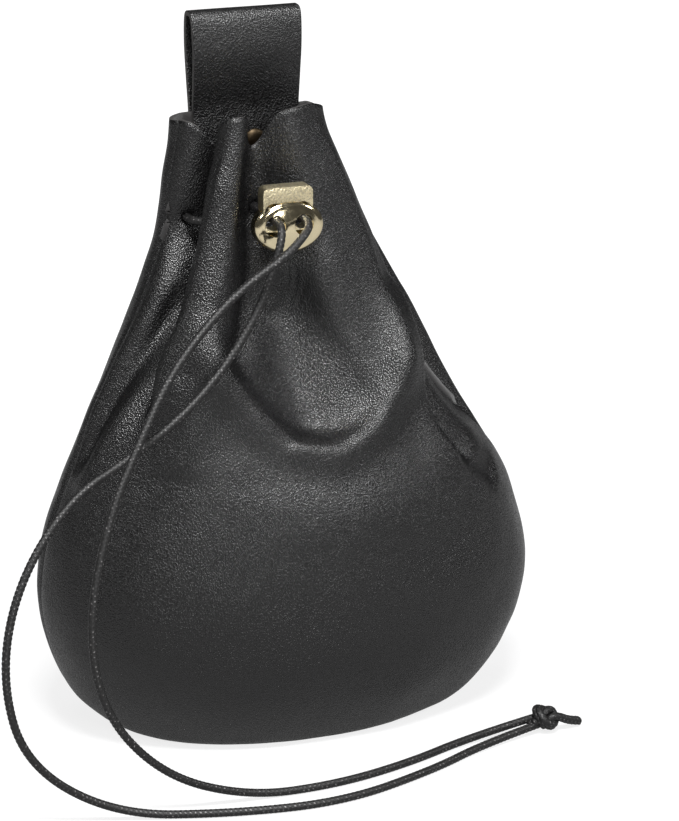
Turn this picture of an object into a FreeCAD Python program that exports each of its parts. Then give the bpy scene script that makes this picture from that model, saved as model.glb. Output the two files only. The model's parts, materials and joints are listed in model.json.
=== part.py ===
"""Drawstring dice bag: two sewn leather panels, belt loop, rivet, cord lock and a knotted cord.

Millimetres, +Z up, +X to the bag's right as seen from the front, front towards -Y, z = 0 on the table.
"""
import FreeCAD
import Part
import math
import os

V = FreeCAD.Vector
doc = FreeCAD.newDocument("dice_bag")

# ---- driving sizes --------------------------------------------------------------------------
SIZES = {
    "wall": 1.2,
    "seam_plane": 3.0,
    "seam_depth": 4.0,
    "stitch_pitch": 12.0,
    "thread_dia": 0.7,
    "cord_dia": 2.3,
    "cord_gap": 0.3,
    "strap_width": 32.0,
    "strap_thick": 1.5,
    "strap_centre": -5.0,
    "strap_foot": 163.0,
    "strap_top": 209.6,
    "rivet_x": -2.7,
    "rivet_z": 171.4,
    "rivet_post": 3.0,
    "rivet_cap": 7.5,
    "rivet_dome": 1.7,
    "rivet_play": 0.2,
    "lock_x": -5.2,
    "lock_y": -19.3,
    "lock_z": 154.6,
    "lock_width": 20.4,
    "lock_height": 13.2,
    "lock_depth": 9.0,
    "lock_round": 1.5,
    "hole_pitch": 8.4,
    "hole_dia": 6.0,
    "hole_rise": 1.35,
    "plunger_width": 14.7,
    "plunger_depth": 6.0,
    "plunger_top": 12.7,
    "plunger_foot": 1.2,
    "plunger_travel": 3.6,
    "plunger_play": 0.15,
    "lock_floor": 1.2,
    "spring_dia": 3.6,
    "spring_wire": 0.45,
}
sheet = doc.addObject("Spreadsheet::Sheet", "Sizes")
for row, (name, value) in enumerate(SIZES.items(), start=1):
    sheet.set("A%d" % row, name)
    sheet.set("B%d" % row, str(value))
    sheet.setAlias("B%d" % row, name)
doc.recompute()


def size(name):
    """A driving size, read back from the sheet."""
    return float(sheet.get(name))


# ---- the pouch's fold lines -------------------------------------------------------------------
# One row per height. Each row walks round the leather through the same nineteen fold lines:
# front valley F, right flap R, right valley B, side ridge C, back corner E, flat back K,
# left back G, left ridge L, left valley A, main pleat P.
FOLDS = {
    190.0: [(-10, -4), (-5, -6), (1, -8), (7.5, -5), (12, 0.5), (8.5, 5), (14, 10), (15.5, 14), (14, 18),
            (7, 18.6), (-19, 18.6), (-25.5, 16.6), (-29, 11), (-30, 4), (-24.5, -2.5), (-18.5, -2.5),
            (-21, -9.5), (-16.5, -14), (-12.5, -9)],
    182.0: [(-10, -4.5), (-5, -6.5), (1, -9), (8, -6), (12.5, 0), (9, 5), (14.5, 10), (16, 14), (14.5, 18),
            (7, 18.6), (-19, 18.6), (-25.5, 16.6), (-29.5, 11), (-30.5, 4), (-25, -2.5), (-18.5, -2.5),
            (-21.5, -9.5), (-17, -14.5), (-13.2, -9.5)],
    166.0: [(-10, -6), (-4, -8), (3.5, -11), (12.5, -8), (18, 0), (12.5, 5), (19, 10.5), (19.5, 14.5), (15.5, 18.2),
            (7, 18.7), (-19, 18.7), (-26.5, 16.5), (-31.5, 11), (-33, 4), (-27.5, -1.5), (-19, -2),
            (-25.5, -10.5), (-19.5, -16.8), (-15.8, -11.4)],
    150.0: [(-9, -9), (-1, -10), (7.5, -12.8), (17, -10), (24.5, -2), (17.5, 4), (26.5, 10), (25, 15.5), (18, 20),
            (7, 20.2), (-18, 20.2), (-27, 17), (-33.5, 12), (-35, 4), (-28.5, 0), (-19.5, -2.5),
            (-29, -11.5), (-22.5, -19), (-16.5, -14)],
    132.0: [(-9, -13), (1, -13), (10, -15.5), (21, -14), (32, -4), (27, 4), (36.5, 10), (33, 18), (22, 26),
            (7, 26.5), (-15, 26.5), (-28, 22), (-38, 15), (-41, 5), (-36.5, -4), (-28, -6),
            (-35, -14), (-28.5, -22.5), (-19.5, -18.8)],
    115.0: [(-10, -19.5), (1, -18.5), (12, -18.5), (26, -19), (39, -8), (37, 3), (46, 9), (41, 20), (29, 30),
            (8, 33), (-15, 33), (-32, 27), (-44, 18), (-48.5, 5), (-45, -6), (-37.5, -12),
            (-42, -18), (-33.5, -25), (-22, -23.5)],
    95.0: [(-10, -29), (1, -27.5), (14, -27), (30, -24), (46, -13), (50, 2), (56, 8), (50, 20), (36, 31),
           (10, 38.5), (-14, 38.5), (-36, 32), (-51, 19), (-58, 5), (-55.5, -8), (-50, -15),
           (-45, -22), (-36, -27.5), (-24, -30)],
}
# Below the folds the leather is a plain rounded belly: height, half width, half depth, centre x, centre y.
BELLY = [
    (75.0, 67.0, 40.5, 0.5, 2.2),
    (58.0, 73.0, 42.5, 1.0, 2.0),
    (42.0, 75.7, 43.0, 1.6, 1.5),
    (25.0, 72.0, 41.5, 1.5, 1.0),
    (11.0, 64.0, 36.5, 1.0, 0.5),
    (3.0, 55.0, 31.0, 1.0, 0.0),
    (0.0, 48.5, 27.0, 1.0, 0.0),
]
# How far the lining side is set in at each height, for a wall that slopes.
SLOPE_INSET = {0.0: 1.25, 3.0: 2.2, 11.0: 1.3, 25.0: 1.1, 95.0: 1.15, 115.0: 1.15, 132.0: 1.15}
# The mouth's edge: angle round the mouth from the left side, through the front, and its height there.
RIM = [(0, 181.8), (12, 180.8), (26, 176.0), (36, 173.5), (46, 181.0), (56, 185.5), (66, 187.0), (76, 183.0),
       (90, 174.5), (104, 173.0), (116, 176.0), (132, 181.5), (150, 184.5), (165, 184.8), (180, 183.5),
       (205, 181.0), (235, 180.3), (270, 180.0), (305, 180.3), (335, 181.0)]
RIM_CENTRE = (-9.0, 5.0)


def fold_points():
    """Every row of fold points, bottom first, as (height, [(x, y), ...])."""
    top_belly = FOLDS[95.0]
    angles = [math.atan2(x / 55.0, -(y - 3.0) / 36.0) for x, y in top_belly]
    rows = []
    for z, a, b, cx, cy in BELLY:
        rows.append((z, [(cx + a * math.sin(t), cy - b * math.cos(t)) for t in angles]))
    for z, points in FOLDS.items():
        rows.append((z, points))
    return sorted(rows)


ROWS = fold_points()


def shared_knots():
    """One knot for each fold line, the same at every height, from the mean spacing of the lines."""
    count = len(ROWS[0][1])
    knots = [0.0]
    for i in range(count):
        gap = 0.0
        for _, points in ROWS:
            (x0, y0), (x1, y1) = points[i], points[(i + 1) % count]
            gap += math.hypot(x1 - x0, y1 - y0) ** 0.6
        knots.append(knots[-1] + gap / len(ROWS))
    return knots


KNOTS = shared_knots()


def section(z, points, inset):
    """A closed section through the fold points, set in by inset along its own normal."""
    curve = Part.BSplineCurve()
    curve.interpolate(Points=[V(x, y, z) for x, y in points], Parameters=KNOTS, PeriodicFlag=True)
    if inset == 0.0:
        return Part.Wire([curve.toShape()])
    moved = []
    for knot, (x, y) in zip(KNOTS, points):
        along = curve.tangent(knot)[0]
        inward = V(-along.y, along.x, 0).normalize()
        moved.append(V(x, y, z) + inward * inset)
    inner = Part.BSplineCurve()
    inner.interpolate(Points=moved, Parameters=KNOTS, PeriodicFlag=True)
    return Part.Wire([inner.toShape()])


def pouch_solid(inset):
    """The closed pouch form: the outside at inset 0, the lining side at one wall's thickness."""
    wires = []
    for z, points in ROWS:
        height = inset if inset and z == 0.0 else z
        if inset and z == 190.0:
            height = 190.5
        wires.append(section(height, points, inset * SLOPE_INSET.get(z, 1.0)))
    return Part.makeLoft(wires, True, False)


def above_rim():
    """Everything above the wavy edge of the mouth."""
    cx, cy = RIM_CENTRE
    centre = V(cx, cy, 179.0)
    roof = V(cx, cy, 215.0)
    low = []
    high = []
    for degrees, z in RIM:
        t = math.radians(degrees)
        out = V(-math.cos(t), -math.sin(t), 0)
        slope = (z - 179.0) / 17.0
        low.append(centre + out * 60.0 + V(0, 0, slope * 60.0))
        high.append(roof + out * 60.0)
    faces = []
    for i in range(len(RIM)):
        j = (i + 1) % len(RIM)
        faces.append(Part.Face(Part.makePolygon([centre, low[i], low[j], centre])))
        faces.append(Part.Face(Part.makePolygon([low[i], high[i], low[j], low[i]])))
        faces.append(Part.Face(Part.makePolygon([high[i], high[j], low[j], high[i]])))
        faces.append(Part.Face(Part.makePolygon([roof, high[j], high[i], roof])))
    solid = Part.makeSolid(Part.makeShell(faces))
    if solid.Volume < 0:
        solid.reverse()
    return solid


# ---- cords --------------------------------------------------------------------------------------
def cord_wire(points):
    """Straight runs joined by tangent arcs."""
    pts = [V(*p) for p in points]
    edges = []
    start = pts[0]
    for before, corner, after in zip(pts, pts[1:], pts[2:]):
        a = (before - corner).normalize()
        b = (after - corner).normalize()
        reach = 0.45 * min((before - corner).Length, (after - corner).Length)
        half = a.getAngle(b) / 2.0
        middle = (a + b).normalize()
        centre_way = reach / math.cos(half)
        radius = reach * math.tan(half)
        enter = corner + a * reach
        leave = corner + b * reach
        edges.append(Part.LineSegment(start, enter).toShape())
        edges.append(Part.Arc(enter, corner + middle * (centre_way - radius), leave).toShape())
        start = leave
    edges.append(Part.LineSegment(start, pts[-1]).toShape())
    return Part.Wire(edges)


def tube(points, diameter):
    """A round tube along the cord's wire."""
    wire = cord_wire(points)
    way = V(*points[1]) - V(*points[0])
    ring = Part.Wire([Part.makeCircle(diameter / 2.0, V(*points[0]), way)])
    return wire.makePipeShell([ring], True, False)


def turn_radii(points):
    """The bend radius at each corner of a cord."""
    pts = [V(*p) for p in points]
    radii = []
    for before, corner, after in zip(pts, pts[1:], pts[2:]):
        a = before - corner
        b = after - corner
        radii.append(round(0.45 * min(a.Length, b.Length) * math.tan(a.getAngle(b) / 2.0), 1))
    return radii


LEFT_X = size("lock_x") - size("hole_pitch") / 2.0
RIGHT_X = size("lock_x") + size("hole_pitch") / 2.0
CORD_Z = size("lock_z") + size("hole_rise") + (size("hole_dia") - size("cord_dia")) / 2.0 - 0.05
FRONT_Y = size("lock_y") - size("lock_depth") / 2.0

# The run through the eight punched holes, from the left hole behind the lock round to the right one.
NECK_RUN = [
    (LEFT_X, FRONT_Y, CORD_Z), (LEFT_X, -4.5, CORD_Z), (-10.8, -0.8, 155.5), (-14.8, -2.3, 155.0),
    (-19.0, -10.0, 154.3), (-28.6, -5.0, 154.0), (-27.6, 7.5, 153.7), (-13.0, 23.0, 153.5),
    (4.0, 23.0, 153.5), (10.5, 15.8, 153.6), (18.5, 14.0, 153.8), (25.2, 5.2, 154.0),
    (15.0, -3.8, 154.4), (4.5, -1.8, 155.2), (RIGHT_X, -5.0, CORD_Z), (RIGHT_X, FRONT_Y, CORD_Z),
]
# The tail from the left hole: out over the left side, down in a wide loop, along the table to the knot.
LEFT_TAIL = [
    (LEFT_X, FRONT_Y, CORD_Z), (LEFT_X, -27.6, CORD_Z), (-10.2, -30.8, 154.2), (-12.8, -32.0, 146.6),
    (-18.0, -33.2, 134.4), (-28.5, -36.0, 120.5), (-42.5, -41.0, 109.0),
    (-60.5, -46.0, 99.4), (-79.0, -51.0, 92.0), (-96.0, -56.5, 71.0),
    (-102.5, -61.0, 46.0), (-97.0, -64.0, 20.5), (-71.0, -62.5, 1.3), (-40.0, -72.5, 1.3),
    (-8.0, -75.5, 1.3), (24.0, -63.0, 1.3), (44.0, -51.0, 1.3), (64.5, -45.6, 2.9),
]
# The tail from the right hole: over the other one, down in the inner loop, along the table to the knot.
RIGHT_TAIL = [
    (RIGHT_X, FRONT_Y, CORD_Z), (RIGHT_X, -28.0, CORD_Z), (-3.5, -32.2, 155.2), (-11.0, -36.2, 150.2),
    (-20.5, -38.2, 145.6), (-32.0, -40.2, 137.8), (-47.5, -45.5, 123.5), (-59.0, -51.5, 106.0),
    (-69.5, -57.0, 88.0), (-78.0, -62.5, 60.0), (-75.5, -66.5, 34.0), (-58.0, -66.0, 12.5),
    (-32.0, -63.0, 1.3), (-7.0, -63.5, 1.3), (18.0, -56.5, 1.3), (43.0, -44.5, 1.3), (64.5, -42.4, 3.8),
]
KNOT = (67.3, -44.4, 4.0)


def feature(label, shape):
    """A finished node as a document object named for its file."""
    obj = doc.addObject("Part::Feature", label)
    obj.Shape = shape
    obj.Label = label
    obj.Placement = shape.Placement
    return obj


# ---- the pouch: two panels joined by a turned-in seam --------------------------------------------
outside = pouch_solid(0.0)
lining = pouch_solid(size("wall"))
seam_y = size("seam_plane")
outline = Part.Wire(outside.slice(V(0, 1, 0), seam_y)[0].OrderedEdges)


def seam_line(inset, spacing):
    """Points down one side, under the base and up the other, set in from the outside by inset."""
    ring = outline.discretize(Distance=spacing)[:-1]
    open_end = max(range(len(ring)), key=lambda i: (ring[i].z + ring[i - 1].z, -abs(ring[i].x)))
    ring = ring[open_end:] + ring[:open_end]
    run = [p for p in ring if p.z < 188.5]
    middle = V(0, seam_y, 90)
    moved = []
    for i, p in enumerate(run):
        along = (run[min(i + 1, len(run) - 1)] - run[max(i - 1, 0)]).normalize()
        inward = V(-along.z, 0, along.x)
        if inward.dot(middle - p) < 0:
            inward = inward * -1
        moved.append(p + inward * inset)
    return moved


def seam_strip():
    """The turned-in edge's outline in the seam plane."""
    curves = []
    for inset in (0.5, size("seam_depth")):
        curve = Part.BSplineCurve()
        curve.interpolate(Points=seam_line(inset, 12.0))
        curves.append(curve)
    near, far = curves
    ends = [Part.LineSegment(near.StartPoint, far.StartPoint), Part.LineSegment(near.EndPoint, far.EndPoint)]
    edges = [near.toShape(), ends[0].toShape(), far.toShape(), ends[1].toShape()]
    return Part.Face(Part.Wire(Part.__sortEdges__(edges)))


strip = seam_strip()
mouth_cut = above_rim()
trimmed = outside.cut(mouth_cut)
rivet_axis = V(size("rivet_x"), 0, size("rivet_z"))
rivet_hole = Part.makeCylinder(size("rivet_post") / 2.0, 40, rivet_axis, V(0, 1, 0))
cord_way = tube(NECK_RUN, size("cord_dia") + 2 * size("cord_gap"))


def largest(shape):
    """The biggest solid of a cut."""
    return max(shape.Solids, key=lambda solid: solid.Volume)


def panel(side):
    """One half of the pouch, side -1 for the front, with its turned-in seam edge and its holes."""
    half = Part.makeBox(300, 150, 300, V(-150, seam_y - 150 if side < 0 else seam_y, -10))
    leather = trimmed.common(half).cut(lining)
    edge = strip.extrude(V(0, side * size("wall"), 0)).cut(mouth_cut)
    return largest(largest(leather.fuse(edge)).cut(cord_way).cut(rivet_hole))


feature("front_panel", panel(-1))
feature("back_panel", panel(1))


def seam_stitches():
    """A running stitch through both turned-in edges, from mouth to mouth under the base."""
    inside = (size("wall") + size("seam_depth")) / 2.0
    run = [p for p in seam_line(inside, size("stitch_pitch")) if p.z < 176.0]
    lift = size("wall") + size("thread_dia") / 2.0
    path = []
    for i, p in enumerate(run):
        side = lift if i % 2 else -lift
        path.append((p.x, seam_y + side, p.z))
        path.append((p.x, seam_y - side, p.z))
    return tube(path, size("thread_dia"))


feature("seam_thread", seam_stitches())

# ---- belt loop -------------------------------------------------------------------------------------
back_y = 18.6
inner_leg = back_y - size("wall") - 0.6 - size("strap_thick") / 2.0
outer_leg = back_y + 0.6 + size("strap_thick") / 2.0
foot = size("strap_foot")
crown = size("strap_top") - size("strap_thick") / 2.0
middle = (inner_leg + outer_leg) / 2.0


def strap_profile():
    """The folded strap from the side, as a closed face at the strap's left edge."""
    spread = 3.9
    knots = [V(0, inner_leg, foot), V(0, inner_leg, foot + 10), V(0, inner_leg, foot + 18),
             V(0, middle - spread * 0.80, 190), V(0, middle - spread, 199),
             V(0, middle - spread * 0.72, crown - 1.4), V(0, middle, crown),
             V(0, middle + spread * 0.72, crown - 1.4), V(0, middle + spread, 199),
             V(0, middle + spread * 0.80, 190), V(0, outer_leg, foot + 18), V(0, outer_leg, foot + 10),
             V(0, outer_leg, foot)]
    line = Part.BSplineCurve()
    line.interpolate(Points=knots)
    half = size("strap_thick") / 2.0
    one_side = []
    other_side = []
    steps = 60
    for i in range(steps + 1):
        u = line.FirstParameter + (line.LastParameter - line.FirstParameter) * i / steps
        p = line.value(u)
        along = line.tangent(u)[0]
        normal = V(0, -along.z, along.y)
        one_side.append(p + normal * half)
        other_side.append(p - normal * half)
    a = Part.BSplineCurve()
    a.interpolate(Points=one_side)
    b = Part.BSplineCurve()
    b.interpolate(Points=other_side)
    ends = [Part.LineSegment(one_side[0], other_side[0]), Part.LineSegment(one_side[-1], other_side[-1])]
    edges = [a.toShape(), ends[1].toShape(), b.toShape(), ends[0].toShape()]
    return Part.Face(Part.Wire(Part.__sortEdges__(edges)))


profile = feature("strap_profile", strap_profile())
profile.Placement = FreeCAD.Placement(V(size("strap_centre") - size("strap_width") / 2.0, 0, 0),
                                      FreeCAD.Rotation())
strap = doc.addObject("Part::Extrusion", "strap")
strap.Base = profile
strap.DirMode = "Custom"
strap.Dir = V(1, 0, 0)
strap.Solid = True
strap.setExpression("LengthFwd", "Sizes.strap_width")
strap_hole = doc.addObject("Part::Cylinder", "strap_hole")
strap_hole.Height = 40
strap_hole.setExpression("Radius", "Sizes.rivet_post / 2 + Sizes.rivet_play / 2")
along_y = FreeCAD.Rotation(V(1, 0, 0), -90)
strap_hole.Placement = FreeCAD.Placement(V(size("rivet_x"), 0, size("rivet_z")), along_y)
belt_loop = doc.addObject("Part::Cut", "belt_loop")
belt_loop.Base = strap
belt_loop.Tool = strap_hole
belt_loop.Label = "belt_loop"

# ---- rivet: domed cap and post inside, domed cap outside ---------------------------------------------
inner_seat = inner_leg - size("strap_thick") / 2.0 - 0.3
outer_seat = outer_leg + size("strap_thick") / 2.0 + 0.3


def dome(name, seat, turn):
    """A shallow rivet cap whose flat side sits at seat."""
    cap = doc.addObject("Part::Sphere", name)
    ball = "((Sizes.rivet_cap / 2) ^ 2 + Sizes.rivet_dome ^ 2) / (2 * Sizes.rivet_dome)"
    cap.setExpression("Radius", ball)
    radius = ((size("rivet_cap") / 2) ** 2 + size("rivet_dome") ** 2) / (2 * size("rivet_dome"))
    cap.setExpression("Angle1", "asin((%s - Sizes.rivet_dome) / (%s))" % (ball, ball))
    back_off = radius - size("rivet_dome")
    side = 1.0 if turn < 0 else -1.0
    centre = V(size("rivet_x"), seat - side * back_off, size("rivet_z"))
    cap.Placement = FreeCAD.Placement(centre, FreeCAD.Rotation(V(1, 0, 0), turn))
    return cap


post = doc.addObject("Part::Cylinder", "rivet_post")
post.setExpression("Radius", "Sizes.rivet_post / 2")
post.Height = outer_seat + 0.9 - inner_seat
post.Placement = FreeCAD.Placement(V(size("rivet_x"), inner_seat, size("rivet_z")), along_y)
inner_cap = dome("inner_dome", inner_seat, 90)
rivet_front = doc.addObject("Part::MultiFuse", "rivet_post_cap")
rivet_front.Shapes = [post, inner_cap]
rivet_front.Label = "rivet_post_cap"
outer_cap = dome("outer_dome", outer_seat, -90)
socket = doc.addObject("Part::Cylinder", "rivet_socket")
socket.setExpression("Radius", "Sizes.rivet_post / 2")
socket.Height = 0.9
socket.Placement = FreeCAD.Placement(V(size("rivet_x"), outer_seat, size("rivet_z")), along_y)
rivet_rear = doc.addObject("Part::Cut", "rivet_rear_cap")
rivet_rear.Base = outer_cap
rivet_rear.Tool = socket
rivet_rear.Label = "rivet_rear_cap"

# ---- cord lock -----------------------------------------------------------------------------------------
lock_at = V(size("lock_x"), size("lock_y"), size("lock_z"))
rear_y = size("lock_y") + size("lock_depth") / 2.0
facing = FreeCAD.Rotation(V(1, 0, 0), 90)
oval = doc.addObject("Part::Ellipse", "lock_oval")
oval.setExpression("MajorRadius", "Sizes.lock_width / 2")
oval.setExpression("MinorRadius", "Sizes.lock_height / 2")
oval.Placement = FreeCAD.Placement(V(size("lock_x"), rear_y, size("lock_z")), facing)
slug = doc.addObject("Part::Extrusion", "lock_slug")
slug.Base = oval
slug.DirMode = "Custom"
slug.Dir = V(0, -1, 0)
slug.Solid = True
slug.setExpression("LengthFwd", "Sizes.lock_depth")
doc.recompute()
rounded = doc.addObject("Part::Fillet", "lock_rounded")
rounded.Base = slug
rims = [i + 1 for i, e in enumerate(slug.Shape.Edges) if isinstance(e.Curve, Part.Ellipse)]
rounded.Edges = [(i, size("lock_round"), size("lock_round")) for i in rims]
pocket = doc.addObject("Part::Box", "lock_pocket")
pocket.setExpression("Length", "Sizes.plunger_width + 2 * Sizes.plunger_play")
pocket.setExpression("Width", "Sizes.plunger_depth + 2 * Sizes.plunger_play")
pocket.Height = 30
pocket_x = size("plunger_width") / 2.0 + size("plunger_play")
pocket_y = size("plunger_depth") / 2.0 + size("plunger_play")
pocket_floor = size("lock_floor") - size("lock_height") / 2.0
pocket.Placement = FreeCAD.Placement(lock_at + V(-pocket_x, -pocket_y, pocket_floor), FreeCAD.Rotation())


def cord_hole(name, side, drop):
    """One of the two through holes, lifted by drop at rest."""
    hole = doc.addObject("Part::Cylinder", name)
    hole.setExpression("Radius", "Sizes.hole_dia / 2")
    hole.Height = 30
    at = lock_at + V(side * size("hole_pitch") / 2.0, 15, size("hole_rise") + drop)
    hole.Placement = FreeCAD.Placement(at, facing)
    return hole


body_tools = doc.addObject("Part::MultiFuse", "lock_tools")
body_tools.Shapes = [pocket, cord_hole("body_hole_left", -1, 0.0), cord_hole("body_hole_right", 1, 0.0)]
lock_body = doc.addObject("Part::Cut", "lock_body")
lock_body.Base = rounded
lock_body.Tool = body_tools
lock_body.Label = "lock_body"

block = doc.addObject("Part::Box", "plunger_block")
block.setExpression("Length", "Sizes.plunger_width")
block.setExpression("Width", "Sizes.plunger_depth")
block.setExpression("Height", "Sizes.plunger_top + Sizes.plunger_foot")
block_at = V(-size("plunger_width") / 2.0, -size("plunger_depth") / 2.0, -size("plunger_foot"))
block.Placement = FreeCAD.Placement(lock_at + block_at, FreeCAD.Rotation())
doc.recompute()
eased = doc.addObject("Part::Fillet", "plunger_eased")
eased.Base = block
top_z = size("lock_z") + size("plunger_top")
corner_edges = []
for i, edge in enumerate(block.Shape.Edges):
    ends = [v.Point for v in edge.Vertexes]
    if all(abs(p.z - top_z) < 1e-6 for p in ends) and abs(ends[0].x - ends[1].x) < 1e-6:
        corner_edges.append(i + 1)
eased.Edges = [(i, 2.0, 2.0) for i in corner_edges]
spring_pocket = doc.addObject("Part::Cylinder", "spring_pocket")
spring_pocket.setExpression("Radius", "Sizes.spring_dia / 2 + 0.25")
spring_pocket.setExpression("Height", "Sizes.plunger_foot + 0.6")
spring_pocket.Placement = FreeCAD.Placement(lock_at + V(0, 0, -size("plunger_foot")), FreeCAD.Rotation())
lift = size("plunger_travel")
plunger_tools = doc.addObject("Part::MultiFuse", "plunger_tools")
plunger_tools.Shapes = [spring_pocket, cord_hole("plunger_hole_left", -1, lift),
                        cord_hole("plunger_hole_right", 1, lift)]
lock_plunger = doc.addObject("Part::Cut", "lock_plunger")
lock_plunger.Base = eased
lock_plunger.Tool = plunger_tools
lock_plunger.Label = "lock_plunger"


def coil_spring():
    """The return spring, from the pocket's floor to the roof of the plunger's pocket."""
    wire_r = size("spring_wire") / 2.0
    low = pocket_floor + wire_r + 0.02
    high = 0.6 - wire_r - 0.02
    turns = 4
    per_turn = 8
    coil_r = (size("spring_dia") / 2.0 - wire_r) / math.cos(math.pi / per_turn)
    path = []
    for i in range(turns * per_turn + 1):
        t = 2.0 * math.pi * i / per_turn
        rise = (high - low) * i / (turns * per_turn)
        path.append((lock_at.x + coil_r * math.cos(t), lock_at.y + coil_r * math.sin(t), lock_at.z + low + rise))
    return tube(path, size("spring_wire"))


feature("lock_spring", coil_spring())

# ---- the drawstring and its knot ---------------------------------------------------------------------------
cord = size("cord_dia")
feature("drawstring_neck_run", tube(NECK_RUN, cord))
left_tail = tube(LEFT_TAIL, cord)
right_tail = tube(RIGHT_TAIL, cord)
feature("drawstring_left_tail", left_tail)
feature("drawstring_right_tail", right_tail)
lump = Part.makeSphere(1.0)
stretch = FreeCAD.Matrix()
stretch.scale(5.6, 4.4, 3.9)
lump = lump.transformGeometry(stretch)
lump.rotate(V(0, 0, 0), V(0, 0, 1), 20)
lump.translate(V(*KNOT))
stub_a = tube([(70.0, -44.6, 4.6), (74.5, -44.8, 4.2), (78.6, -46.6, 2.0)], cord)
stub_b = tube([(70.0, -45.2, 2.6), (73.6, -46.6, 2.1), (77.4, -48.6, 1.4)], cord)
knot = lump.fuse([stub_a, stub_b]).cut(left_tail).cut(right_tail)
feature("end_knot", largest(knot))

# ---- write the files ------------------------------------------------------------------------------------------
doc.recompute()
NODES = [
    "front_panel", "back_panel", "seam_thread", "belt_loop", "rivet_post_cap", "rivet_rear_cap",
    "lock_body", "lock_plunger", "lock_spring", "drawstring_neck_run", "drawstring_left_tail",
    "drawstring_right_tail", "end_knot",
]
for obj in doc.Objects:
    if "Invalid" in obj.State or "Error" in obj.State:
        raise RuntimeError("%s is in state %s" % (obj.Name, obj.State))
os.makedirs("parts", exist_ok=True)
for label in NODES:
    obj = doc.getObjectsByLabel(label)[0]
    shape = obj.Shape
    if shape.isNull() or not shape.isValid():
        raise RuntimeError("%s has no valid shape" % label)
    shape.exportStep("parts/%s.step" % label)
    box = shape.BoundBox
    print("%-22s %8.1f mm3  solids %d  x %.1f..%.1f  y %.1f..%.1f  z %.1f..%.1f" % (
        label, shape.Volume, len(shape.Solids), box.XMin, box.XMax, box.YMin, box.YMax, box.ZMin, box.ZMax))
for name, points in (("neck", NECK_RUN), ("left", LEFT_TAIL), ("right", RIGHT_TAIL)):
    wire = cord_wire(points)
    print(name, "length %.1f" % wire.Length, "radii", turn_radii(points))
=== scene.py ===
"""Drawstring dice bag: black pebbled leather pouch, belt loop, rivet, cord lock and knotted cord.

Metres, +Z up, +X to the bag's right as seen from the front, front towards -Y, z = 0 on the table.
"""

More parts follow.
